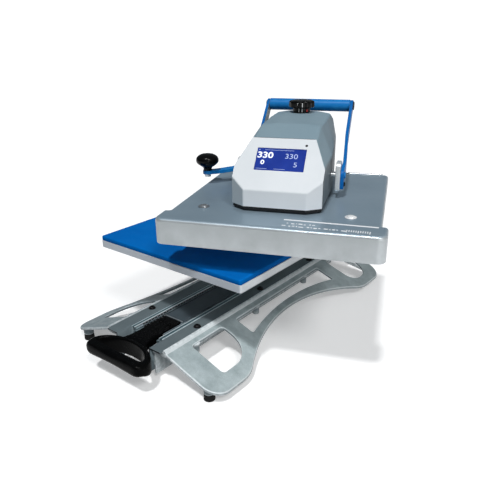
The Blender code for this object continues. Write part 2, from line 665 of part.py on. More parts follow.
cut(rear, box(-ARM_HALF - 1.5, ARM_HALF + 1.5, -230, -180, 330, ARM_Z[1] + 1.5))
cut(rear, box(INLET_U - 13.6, INLET_U + 13.6, -215, -195, PANEL_Z - 10.1, PANEL_Z + 10.1))
cut(rear, box(SWITCH_U - 10.5, SWITCH_U + 10.5, -215, -195, PANEL_Z - 8.2, PANEL_Z + 8.2))
direction = (Vector(LEVER_TO) - Vector(LEVER_FROM)).normalized()
across = Vector((-direction.y, direction.x))


def lever_point(along, sideways):
    return tuple(Vector(LEVER_FROM) + direction * along + across * sideways)


lever_length = (Vector(LEVER_TO) - Vector(LEVER_FROM)).length


def lever_lift(x, y):
    """How far the side lever has climbed at a plan point, from its flat end toward the arm."""
    gone = (Vector((x, y)) - Vector(LEVER_FROM)).dot(direction)
    return LEVER_RISE * max(0.0, lever_length - LEVER_FLAT - gone)


slot_half = LEVER_W / 2 + 1.5
slot = prism(
    [lever_point(20, -slot_half), lever_point(110, -slot_half), lever_point(110, slot_half), lever_point(20, slot_half)],
    LEVER_Z[0] - 1.5,
    LEVER_Z[1] + 1.5,
)
for vert in slot.verts:
    vert.co.z += lever_lift(vert.co.x, vert.co.y)
cut(rear, slot)
rear.parent = head

wide = SCREEN[0] / 2 - 0.35
screen_rings = []
for depth in (0.6, 0.6 + SCREEN_T):
    screen_rings.append([on_slope(u, s, depth) for u, s in ((-wide, s0 + 0.35), (wide, s0 + 0.35), (wide, s1 - 0.35), (-wide, s1 - 0.35))])
place("screen", loft(screen_rings), "screen", head)
wide, b0, b1, depth, thick = BOARD
wide /= 2
board_rings = [[on_slope(u, s, d) for u, s in ((-wide, b0), (wide, b0), (wide, b1), (-wide, b1))] for d in (depth, depth + thick)]
place("control_board", loft(board_rings), "board", head)

inlet = place("mains_inlet", box(INLET_U - 15.5, INLET_U + 15.5, -204.6, -202.0, PANEL_Z - 12, PANEL_Z + 12), "black")
join(inlet, box(INLET_U - 13.2, INLET_U + 13.2, -226.0, -203.0, PANEL_Z - 9.7, PANEL_Z + 9.7))
cut(inlet, box(INLET_U - 11.5, INLET_U + 11.5, -220.0, -190.0, PANEL_Z - 8, PANEL_Z + 8))
for du, dz in ((-7, 0), (0, 3), (7, 0)):
    join(inlet, box(INLET_U + du - 1, INLET_U + du + 1, -222.0, -206.0, PANEL_Z + dz - 2, PANEL_Z + dz + 2))
inlet.parent = head
rocker = [(-6.0, -4.5), (4.0, -7.0), (2.0, 0.0), (2.6, 7.0), (-6.0, 4.5)]
place("power_switch", prism_x(rocker, -10.0, 10.0), "black", switch_axis)

# ---- head: side lever ---------------------------------------------------------------
length = lever_length
w = LEVER_W / 2
lean = direction.y / direction.x
start = [(LEVER_FROM[0], LEVER_FROM[1] + s * w / abs(direction.x)) for s in (1, -1)]
tip = [lever_point(length + w * math.sin(a), w * math.cos(a)) for a in (math.pi * k / 8 for k in range(9))]
if (Vector(start[0]) - Vector(tip[0])).dot(across) < -w:
    start.reverse()
near = sorted(start, key=lambda p: -(Vector(p) - Vector(LEVER_FROM)).dot(across))
bend = [lever_point(length - LEVER_FLAT, s * w) for s in (1, -1)]
bm = bmesh.new()
layers = []
for z in LEVER_Z:
    root = [bm.verts.new((x, y, z + lever_lift(x, y))) for x, y in near]
    fold = [bm.verts.new((x, y, z)) for x, y in bend]
    end = [bm.verts.new((x, y, z)) for x, y in tip]
    bm.faces.new((root[0], fold[0], fold[1], root[1]))
    bm.faces.new([fold[0]] + end + [fold[1]])
    layers.append([root[0], fold[0]] + end + [fold[1], root[1]])
for i in range(len(layers[0])):
    j = (i + 1) % len(layers[0])
    bm.faces.new((layers[0][i], layers[0][j], layers[1][j], layers[1][i]))
bar = place("swing_bar", bm, "handle_blue")
cut(bar, cylinder(LEVER_TO[0], LEVER_TO[1], 3.9, LEVER_Z[0] - 5, LEVER_Z[1] + 5, 12))
bar.parent = head
k0 = LEVER_Z[1] + 0.3
knob_profile = [(0, k0 - 16), (3.5, k0 - 16), (3.5, k0), (9.5, k0), (9.5, k0 + 4), (12, k0 + 8), (18.5, k0 + 12), (24, k0 + 17), (26, k0 + 22.5)]
knob_profile += [(25, k0 + 28), (20.5, k0 + 33.5), (12.5, k0 + 37), (0, k0 + 38.4)]
place("swing_knob", turned(knob_profile, 24, LEVER_TO), "black", head, 60)
nut = place("swing_nut", cylinder(LEVER_TO[0], LEVER_TO[1], 7.5, LEVER_Z[0] - 6.5, LEVER_Z[0] - 0.3, 6), "steel")
cut(nut, cylinder(LEVER_TO[0], LEVER_TO[1], 3.9, 330, 360, 12))
nut.parent = head

# ---- handle -------------------------------------------------------------------------
shaft = [(0, -STUB_HALF), (STUB_R, -STUB_HALF), (STUB_R, -SHAFT_HALF), (SHAFT_R, -SHAFT_HALF)]
shaft += [(r, -z) for r, z in reversed(shaft)]
place("cross_shaft", shifted(turned(shaft, 20), to_x), "chrome", lever, 40)
place("grip_tube", cylinder_x(GRIP_DV, GRIP_DZ, GRIP_R, -GRIP_HALF, GRIP_HALF, 24), "handle_blue", lever, 40)
grip, knee = Vector((GRIP_DV, GRIP_DZ)), Vector(BAR_KNEE)
along, upward = knee.normalized(), (grip - knee).normalized()
over, outward = Vector((-along.y, along.x)), Vector((-upward.y, upward.x))
mitre = (over + outward) / (1 + over.dot(outward))
reach = (grip - knee).length
w = BAR_W / 2

lower_part = [along * BAR_STRAIGHT - over * w, along * BAR_STRAIGHT + over * w]
lower_part += [Vector((w * math.cos(a), w * math.sin(a))) for a in (math.radians(d) for d in (105.8, 124, 143, 162, 180))]
lower_part += [Vector((-w, 4 - BAR_TAIL)), Vector((4 - w, -BAR_TAIL)), Vector((w - 4, -BAR_TAIL)), Vector((w, 4 - BAR_TAIL)), Vector((w, -w * 0.755))]
tip = [grip + upward * (w * math.sin(a)) - outward * (w * math.cos(a)) for a in (math.pi * k / 8 for k in range(9))]
for label, side in SIDES:
    bm = bmesh.new()
    layers = []
    for u in (BAR_U, BAR_U + BAR_T):
        root = [bm.verts.new((u, p.x, p.y)) for p in lower_part]
        fold = [bm.verts.new((u - BAR_SPLAY[0], p.x, p.y)) for p in (knee - mitre * w, knee + mitre * w)]
        end = []
        for p in tip:
            part = (p - knee).dot(upward) / reach
            end.append(bm.verts.new((u - BAR_SPLAY[0] - (BAR_SPLAY[1] - BAR_SPLAY[0]) * part, p.x, p.y)))
        bm.faces.new(root)
        bm.faces.new((root[0], fold[0], fold[1], root[1]))
        bm.faces.new([fold[0]] + end + [fold[1]])
        layers.append([root[0], fold[0]] + end + [fold[1]] + root[1:])
    for i in range(len(layers[0])):
        j = (i + 1) % len(layers[0])
        bm.faces.new((layers[0][i], layers[0][j], layers[1][j], layers[1][i]))
    bmesh.ops.triangulate(bm, faces=bm.faces)
    piece = place("handle_arm_" + label, mirrored(bm, side), "handle_blue")
    cut(piece, cylinder_x(0, 0, STUB_R + 0.3, -130, 130, 14), 40)
    piece.parent = lever
    half, (z0, z1) = HUBBLOCK_HALF, HUBBLOCK_Z
    outline = fillet([(-half, z0), (half, z0), (half, z1), (-half, z1)], [5, 5, 14, 14], 5)
    block = place("handle_hub_" + label, mirrored(prism_x(outline, *HUBBLOCK_U), side), "chrome")
    cut(block, cylinder_x(0, 0, STUB_R + 0.3, -130, 130, 14), 40)
    block.parent = lever

RISE = TRAVEL / math.radians(HANDLE_DEG)


def cam_line(turn, offset):
    """A point of the spiral slot: turn runs from straight down toward the front and up."""
    r = CAM_R0 + RISE * turn
    position = Vector((-r * math.sin(turn), -r * math.cos(turn)))
    tangent = Vector((-RISE * math.sin(turn) - r * math.cos(turn), -RISE * math.cos(turn) + r * math.sin(turn))).normalized()
    normal = Vector((tangent.y, -tangent.x))
    if normal.dot(position) < 0:
        normal.negate()
    return position + normal * offset, tangent, normal


def band(half, margin, steps=22, round_steps=6):
    first, last = -margin, math.radians(HANDLE_DEG) + margin
    turns = [first + (last - first) * k / steps for k in range(steps + 1)]
    outline = [cam_line(t, half)[0] for t in turns]
    centre, tangent, normal = cam_line(last, 0)
    outline += [centre + normal * half * math.cos(a) + tangent * half * math.sin(a) for a in (math.pi * k / round_steps for k in range(1, round_steps))]
    outline += [cam_line(t, -half)[0] for t in reversed(turns)]
    centre, tangent, normal = cam_line(first, 0)
    outline += [centre - normal * half * math.cos(a) - tangent * half * math.sin(a) for a in (math.pi * k / round_steps for k in range(1, round_steps))]
    return [tuple(p) for p in outline]


cam = place("cam_plate", prism_x(band(BAND_HALF, 0.02), -CAM_HALF, CAM_HALF), "steel")
join(cam, cylinder_x(0, 0, CAM_HUB_R, -CAM_HUB_HALF, CAM_HUB_HALF, 24))
cut(cam, prism_x(band(SLOT_HALF, 0.02), -20, 20))
cut(cam, cylinder_x(0, 0, SHAFT_R + 0.3, -20, 20, 20), 40)
cam.parent = lever

# ---- upper platen -------------------------------------------------------------------
half, (v0, v1), (z0, z1) = HEAT_HALF, HEAT_V, HEAT_Z
place("heat_plate", prism(fillet([(-half, v0), (half, v0), (half, v1), (-half, v1)], [5] * 4, 3), z0, z1), "aluminium", platen)

half, (v0, v1) = COVER_HALF, COVER_V
nose = BUMPER_HALF
plan = [(-nose, BUMPER_FRONT), (nose, BUMPER_FRONT), (nose, v0), (half, v0 + 0.01), (half, v1), (-half, v1), (-half, v0 + 0.01), (-nose, v0)]


def cover_ring(z, shrink):
    inner = []
    for u, v in plan:
        du = -shrink if u > 0 else shrink
        dv = shrink if v < -600 else (-shrink if v > -200 or v == v0 else -shrink)
        inner.append((u + du, v + dv))
    return [(u, v, z) for u, v in fillet(inner, [BUMPER_R - shrink, BUMPER_R - shrink, 6, 3, 6, 6, 3, 6], 4)]


round_r = 5.0
top_rings = [cover_ring(COVER_LOW, 0.0), cover_ring(COVER_TOP - round_r, 0.0)]
for k in (1, 2, 3):
    a = math.radians(30 * k)
    top_rings.append(cover_ring(COVER_TOP - round_r + round_r * math.sin(a), round_r * (1 - math.cos(a))))
cover = place("platen_cover", loft(top_rings), "cover")
front_plan = fillet([(-nose, BUMPER_FRONT), (nose, BUMPER_FRONT), (nose, v0), (-nose, v0)], [BUMPER_R, BUMPER_R, 6, 6], 4)
join(cover, prism(front_plan, BUMPER_LOW, COVER_LOW + 8))
t = COVER_T
cut(cover, prism(fillet([(-nose + t, BUMPER_FRONT + t), (nose - t, BUMPER_FRONT + t), (nose - t, v0 - t), (-nose + t, v0 - t)], [BUMPER_R - t, BUMPER_R - t, 3, 3], 4), BUMPER_LOW - 9, COVER_TOP - t))
cut(cover, box(-half + t, half - t, v0 - 20, v1 - t, BUMPER_LOW - 9, COVER_TOP - t - 0.02))
cut(cover, box(-HEAT_HALF - 0.5, HEAT_HALF + 0.5, v0 - 30, v0 + 20, BUMPER_LOW - 9, COVER_LOW - 0.2))
cut(cover, box(-COVER_HOLE[0], COVER_HOLE[0], COVER_HOLE[1], COVER_HOLE[2], 315, 340))
for side in (1, -1):
    cut(cover, cylinder(side * COVER_BOLT[0], COVER_BOLT[1], 3.4, 315, 340, 12), 30)
cover.parent = platen
for label, side in SIDES:
    top = COVER_TOP + 0.3
    profile = [(0, top + 4), (4.5, top + 4), (6.5, top + 3), (6.5, top + 1.2), (9, top + 1), (9, top), (3, top), (3, top - 14), (0, top - 14)]
    place("cover_bolt_" + label, mirrored(turned(profile, 12, COVER_BOLT), side), "chrome", platen, 40)

half, v0, v1, z0, z1 = CARRIER
carrier = place("platen_carrier", box(-half, half, v0, v1, z0, z1), "iron")
for side in (1, -1):
    ear_top = PIVOT_Z - CAM_R0 + EAR_TOP
    outline = fillet([(PIVOT_V - EAR_HALF_V, z1 - 4), (PIVOT_V + EAR_HALF_V, z1 - 4), (PIVOT_V + EAR_HALF_V, ear_top), (PIVOT_V - EAR_HALF_V, ear_top)], [0, 0, 7, 7], 4)
    join(carrier, mirrored(prism_x(outline, *EAR_U), side))
for v, r, top in POSTS:
    join(carrier, cylinder(0, v, r, z1 - 4, top, 16))
cut(carrier, cylinder_x(PIVOT_V, PIVOT_Z - CAM_R0, PIN_R + 0.3, -40, 40, 16), 40)
carrier.parent = platen
place("follower_pin", cylinder_x(PIVOT_V, PIVOT_Z - CAM_R0, PIN_R, -15.5, 15.5, 16), "chrome", platen, 40)

path = fillet([(-60, -575), (-165, -575), (-165, -230), (165, -230), (165, -575), (60, -575), (60, -545), (130, -545), (130, -262), (-130, -262), (-130, -545), (-60, -545)], [0] + [16] * 4 + [10, 10] + [16] * 4 + [0], 3)
rod_r, rod_z, sides = 4.0, HEAT_Z[1] + 4.4, 6
rod_rings = []
for i, p in enumerate(path):
    before, after = Vector(path[max(i - 1, 0)]), Vector(path[min(i + 1, len(path) - 1)])
    tangent = (after - before).normalized()
    normal = Vector((-tangent.y, tangent.x))
    rod_rings.append([(p[0] + normal.x * rod_r * math.cos(a), p[1] + normal.y * rod_r * math.cos(a), rod_z + rod_r * math.sin(a)) for a in (2 * math.pi * k / sides for k in range(sides))])
place("heating_element", loft(rod_rings), "steel", platen, 60)

# ---- pressure knob ------------------------------------------------------------------
count = 40


def lobed(r, depth, z):
    return [((r + depth * math.cos(8 * a)) * math.cos(a), (r + depth * math.cos(8 * a)) * math.sin(a), z) for a in (2 * math.pi * k / count for k in range(count))]


place(
    "pressure_knob",
    loft([lobed(19.5, 0, 0.0), lobed(19.5, 0, 10.0), lobed(27.2, 1.2, 11.5), lobed(28, 1.4, 13.5), lobed(27.4, 1.4, 22.5), lobed(23, 0.8, 25.6), lobed(12, 0, 26.8)]),
    "black",
    knob_axis,
    50,
)
place("pressure_screw", cylinder(0, 0, 5.5, ARM_Z[1] + 0.6 - KNOB_Z, -0.4, 16), "steel", knob_axis, 40)
block = place("pressure_nut", box(-15, 15, KNOB_V - 13, KNOB_V + 13, *NUT_Z), "bronze")
cut(block, cylinder(0, KNOB_V, 5.9, NUT_Z[0] - 5, NUT_Z[1] + 5, 16), 40)
block.parent = head
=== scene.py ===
"""Looks of the swing-away heat press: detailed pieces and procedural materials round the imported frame.
Lengths are in millimetres in the base frame (front end of the rails, centre line) or in the head frame
(u right, v back, z up from the column), and become metres when a mesh is made."""

import json
import math

import bmesh
import bpy
from mathutils import Matrix, Vector
from mathutils.geometry import tessellate_polygon

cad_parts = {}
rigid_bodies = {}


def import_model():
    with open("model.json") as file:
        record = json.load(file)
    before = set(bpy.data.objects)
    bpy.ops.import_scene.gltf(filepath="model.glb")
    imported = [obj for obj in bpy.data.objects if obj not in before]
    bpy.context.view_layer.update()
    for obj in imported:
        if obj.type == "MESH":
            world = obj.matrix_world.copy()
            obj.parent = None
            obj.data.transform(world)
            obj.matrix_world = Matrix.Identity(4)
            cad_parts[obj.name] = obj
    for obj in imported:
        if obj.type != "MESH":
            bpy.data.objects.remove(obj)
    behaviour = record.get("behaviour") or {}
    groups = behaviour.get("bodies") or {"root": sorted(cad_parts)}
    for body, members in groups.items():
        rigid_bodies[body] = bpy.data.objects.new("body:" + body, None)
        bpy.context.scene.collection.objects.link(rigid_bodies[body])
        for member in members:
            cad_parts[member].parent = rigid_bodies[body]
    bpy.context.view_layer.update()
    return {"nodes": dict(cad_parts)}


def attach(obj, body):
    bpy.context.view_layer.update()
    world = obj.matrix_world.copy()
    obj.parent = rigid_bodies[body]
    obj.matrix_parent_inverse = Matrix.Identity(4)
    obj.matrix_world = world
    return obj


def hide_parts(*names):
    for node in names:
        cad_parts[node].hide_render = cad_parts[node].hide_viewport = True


for old in list(bpy.data.objects):
    bpy.data.objects.remove(old, do_unlink=True)

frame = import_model()
MM = 0.001

BASE = Matrix.Translation((-0.105523, -0.351, 0.0))
HEAD = Matrix.Translation((-0.105523, 0.352, 0.0)) @ Matrix.Rotation(math.radians(22.21), 4, "Z")
LEVER = HEAD @ Matrix.Translation((0.0, -0.395, 0.376))
KNOB = HEAD @ Matrix.Translation((0.0, -0.262, 0.4844))
SIDES = (("right", 1), ("left", -1))

# ---- camera -------------------------------------------------------------------------
camera_data = bpy.data.cameras.new("camera")
camera = bpy.data.objects.new("camera", camera_data)
bpy.context.scene.collection.objects.link(camera)
back = Vector((0.565781, -0.734988, 0.373741)).normalized()
right0 = Vector((0.792421, 0.609975, 0.0)).normalized()
up0 = back.cross(right0)
roll = math.radians(-0.41256)
right = right0 * math.cos(roll) + up0 * math.sin(roll)
up = back.cross(right)
camera.matrix_world = Matrix(
    (
        (right.x, up.x, back.x, 0.651077),
        (right.y, up.y, back.y, -0.940600),
        (right.z, up.z, back.z, 0.643400),
        (0, 0, 0, 1),
    )
)
camera_data.sensor_width = 36.0
camera_data.lens = 38.096
camera_data.clip_start, camera_data.clip_end = 0.01, 200.0
camera_data.dof.use_dof = False
bpy.context.scene.camera = camera


# ---- materials ----------------------------------------------------------------------
def node(tree, kind, **values):
    made = tree.nodes.new(kind)
    for key, value in values.items():
        setattr(made, key, value)
    return made


def noise(tree, vector, scale, detail=4.0, rough=0.55, distortion=0.0):
    made = node(tree, "ShaderNodeTexNoise")
    made.inputs["Scale"].default_value = scale
    made.inputs["Detail"].default_value = detail
    made.inputs["Roughness"].default_value = rough
    made.inputs["Distortion"].default_value = distortion
    tree.links.new(vector, made.inputs["Vector"])
    return made.outputs["Fac"]


def ramp(tree, factor, stops):
    made = node(tree, "ShaderNodeValToRGB")
    elements = made.color_ramp.elements
    while len(elements) < len(stops):
        elements.new(0.5)
    for element, (position, colour) in zip(elements, stops):
        element.position = position
        element.color = (*colour, 1.0) if len(colour) == 3 else colour
    tree.links.new(factor, made.inputs["Fac"])
    return made.outputs["Color"]


def spread(tree, factor, low, high, start=0.3, stop=0.7):
    made = node(tree, "ShaderNodeMapRange")
    made.inputs["From Min"].default_value = start
    made.inputs["From Max"].default_value = stop
    made.inputs["To Min"].default_value = low
    made.inputs["To Max"].default_value = high
    tree.links.new(factor, made.inputs["Value"])
    return made.outputs["Result"]


def mix(tree, a, b, factor, blend="MIX"):
    made = node(tree, "ShaderNodeMix", data_type="RGBA", blend_type=blend)
    if isinstance(factor, float):
        made.inputs[0].default_value = factor
    else:
        tree.links.new(factor, made.inputs[0])
    for value, socket in ((a, made.inputs[6]), (b, made.inputs[7])):
        if isinstance(value, tuple):
            socket.default_value = (*value, 1.0)
        else:
            tree.links.new(value, socket)
    return made.outputs[2]


def surface(
    name,
    dark,
    light,
    scale,
    rough,
    metal,
    grain=900.0,
    bump=0.15,
    depth=0.2,
    stretch=(1.0, 1.0, 1.0),
    speckle=0.12,
    lumps=None,
    coat=0.0,
    edge_wear_and_highlight=None,
    specular=0.5,
    pits=None,
    sheen=0.0,
    painted_wall_shading=None,
    inner=None,
    bands=None,
    ends=None,
    left=None,
    painted_edge_highlight=None,
):
    """A painted, cast, moulded or drawn surface. scale and grain are per metre; depth is in millimetres."""
    material = bpy.data.materials.new(name)
    material.use_nodes = True
    tree = material.node_tree
    shader = tree.nodes["Principled BSDF"]
    shader.inputs["Metallic"].default_value = metal
    shader.inputs["Specular IOR Level"].default_value = specular
    if coat:
        shader.inputs["Coat Weight"].default_value = coat
        shader.inputs["Coat Roughness"].default_value = 0.12
    if sheen:
        shader.inputs["Sheen Weight"].default_value = sheen
    place = node(tree, "ShaderNodeTexCoord").outputs["Object"]
    mapping = node(tree, "ShaderNodeMapping")
    mapping.inputs["Scale"].default_value = stretch
    tree.links.new(place, mapping.inputs["Vector"])
    broad = noise(tree, place, scale, 5.0, 0.6, 0.3)
    colour = ramp(tree, broad, [(0.3, dark), (0.7, light)])
    if bands:
        # stripes along the piece, placed by the distance in millimetres from its middle plane: painted highlights along
        # the ridges, with painted shade between
        away = node(tree, "ShaderNodeMath", operation="ABSOLUTE")
        apart = node(tree, "ShaderNodeSeparateXYZ")
        tree.links.new(place, apart.inputs["Vector"])
        tree.links.new(apart.outputs["X"], away.inputs[0])
        first, last = bands[0][0], bands[-1][0]
        share = spread(tree, away.outputs[0], 0.0, 1.0, first * MM, last * MM)
        painted_highlight_stripes = ramp(tree, share, [((at - first) / (last - first), tone) for at, tone in bands])
        colour = mix(tree, colour, painted_highlight_stripes, spread(tree, broad, 0.82, 1.0))
    if painted_wall_shading or inner or ends or left or painted_edge_highlight:
        # painted light and shade by the way a face looks: walls apart from tops, front-facing, left-facing and
        # inward-looking faces, and the sloping faces of eased edges
        facing = node(tree, "ShaderNodeSeparateXYZ")
        tree.links.new(node(tree, "ShaderNodeTexCoord").outputs["Normal"], facing.inputs["Vector"])
        # front-facing faces darker: painted shade
        if ends:
            colour = mix(tree, ends, colour, spread(tree, facing.outputs["Y"], 0.0, 1.0, -0.95, -0.6))
        # left-facing faces darker: painted shade
        if left:
            colour = mix(tree, left, colour, spread(tree, facing.outputs["X"], 0.0, 1.0, -0.5, -0.2))
        # walls take their own colour: darker as painted shade on the castings and housing, lighter as painted reflected
        # light on the cover
        if painted_wall_shading:
            colour = mix(tree, painted_wall_shading[0], colour, spread(tree, facing.outputs["Z"], 0.0, 1.0, painted_wall_shading[1], painted_wall_shading[2]))
        # sloping faces of eased edges lighter: painted highlight
        if painted_edge_highlight:
            colour = mix(tree, colour, painted_edge_highlight, ramp(tree, facing.outputs["Z"], [(0.2, (0.0,) * 3), (0.45, (1.0,) * 3), (0.74, (1.0,) * 3), (0.86, (0.0,) * 3)]))
        # faces looking to the middle of the machine darker and grey: painted shade
        if inner:
            toward = node(tree, "ShaderNodeMath", operation="MULTIPLY")
            apart = node(tree, "ShaderNodeSeparateXYZ")
            tree.links.new(place, apart.inputs["Vector"])
            tree.links.new(facing.outputs["X"], toward.inputs[0])
            tree.links.new(apart.outputs["X"], toward.inputs[1])
            colour = mix(tree, inner, colour, spread(tree, toward.outputs[0], 0.0, 1.0, -0.06, -0.045))
    fine = noise(tree, mapping.outputs["Vector"], grain, 3.0, 0.6)
    shade = 1.0 - speckle
    colour = mix(tree, colour, ramp(tree, fine, [(0.34, (shade,) * 3), (0.66, (1.0,) * 3)]), 1.0, "MULTIPLY")
    if pits:
        cells = node(tree, "ShaderNodeTexVoronoi")
        cells.inputs["Scale"].default_value = pits[0]
        tree.links.new(place, cells.inputs["Vector"])
        colour = mix(tree, colour, ramp(tree, cells.outputs["Distance"], [(pits[1], pits[2]), (pits[1] * 1.7, (1.0,) * 3)]), 1.0, "MULTIPLY")
    # convex edges lighter: edge wear and a painted highlight
    if edge_wear_and_highlight:
        edge = node(tree, "ShaderNodeNewGeometry").outputs["Pointiness"]
        wear_and_highlight_mask = node(tree, "ShaderNodeMath", operation="MULTIPLY")
        tree.links.new(ramp(tree, edge, [(0.515, (0.0,) * 3), (0.56, (1.0,) * 3)]), wear_and_highlight_mask.inputs[0])
        tree.links.new(ramp(tree, noise(tree, place, scale * 4, 4.0), [(0.3, (0.25,) * 3), (0.65, (1.0,) * 3)]), wear_and_highlight_mask.inputs[1])
        colour = mix(tree, colour, edge_wear_and_highlight, wear_and_highlight_mask.outputs[0])
    tree.links.new(colour, shader.inputs["Base Color"])
    patches = noise(tree, mapping.outputs["Vector"], scale * 3.0, 4.0)
    tree.links.new(spread(tree, patches, *rough), shader.inputs["Roughness"])
    height = node(tree, "ShaderNodeBump")
    height.inputs["Strength"].default_value = bump
    height.inputs["Distance"].default_value = depth * MM
    tree.links.new(fine, height.inputs["Height"])
    if lumps:
        second = node(tree, "ShaderNodeBump")
        second.inputs["Strength"].default_value = lumps[1]
        second.inputs["Distance"].default_value = lumps[2] * MM
        tree.links.new(noise(tree, place, lumps[0], 3.0), second.inputs["Height"])
        tree.links.new(second.outputs["Normal"], height.inputs["Normal"])
    tree.links.new(height.outputs["Normal"], shader.inputs["Normal"])
    return material


def glow(name, dark, light, scale, strength, rough, specular):
    """A lit display surface: its colour varies and also shines a little."""
    material = surface(name, dark, light, scale, (rough, rough + 0.1), 0.0, grain=2600.0, bump=0.02, depth=0.05, speckle=0.06, specular=specular)
    tree = material.node_tree
    shader = tree.nodes["Principled BSDF"]
    source = shader.inputs["Base Color"].links[0].from_socket
    tree.links.new(source, shader.inputs["Emission Color"])
    shader.inputs["Emission Strength"].default_value = strength
    return material


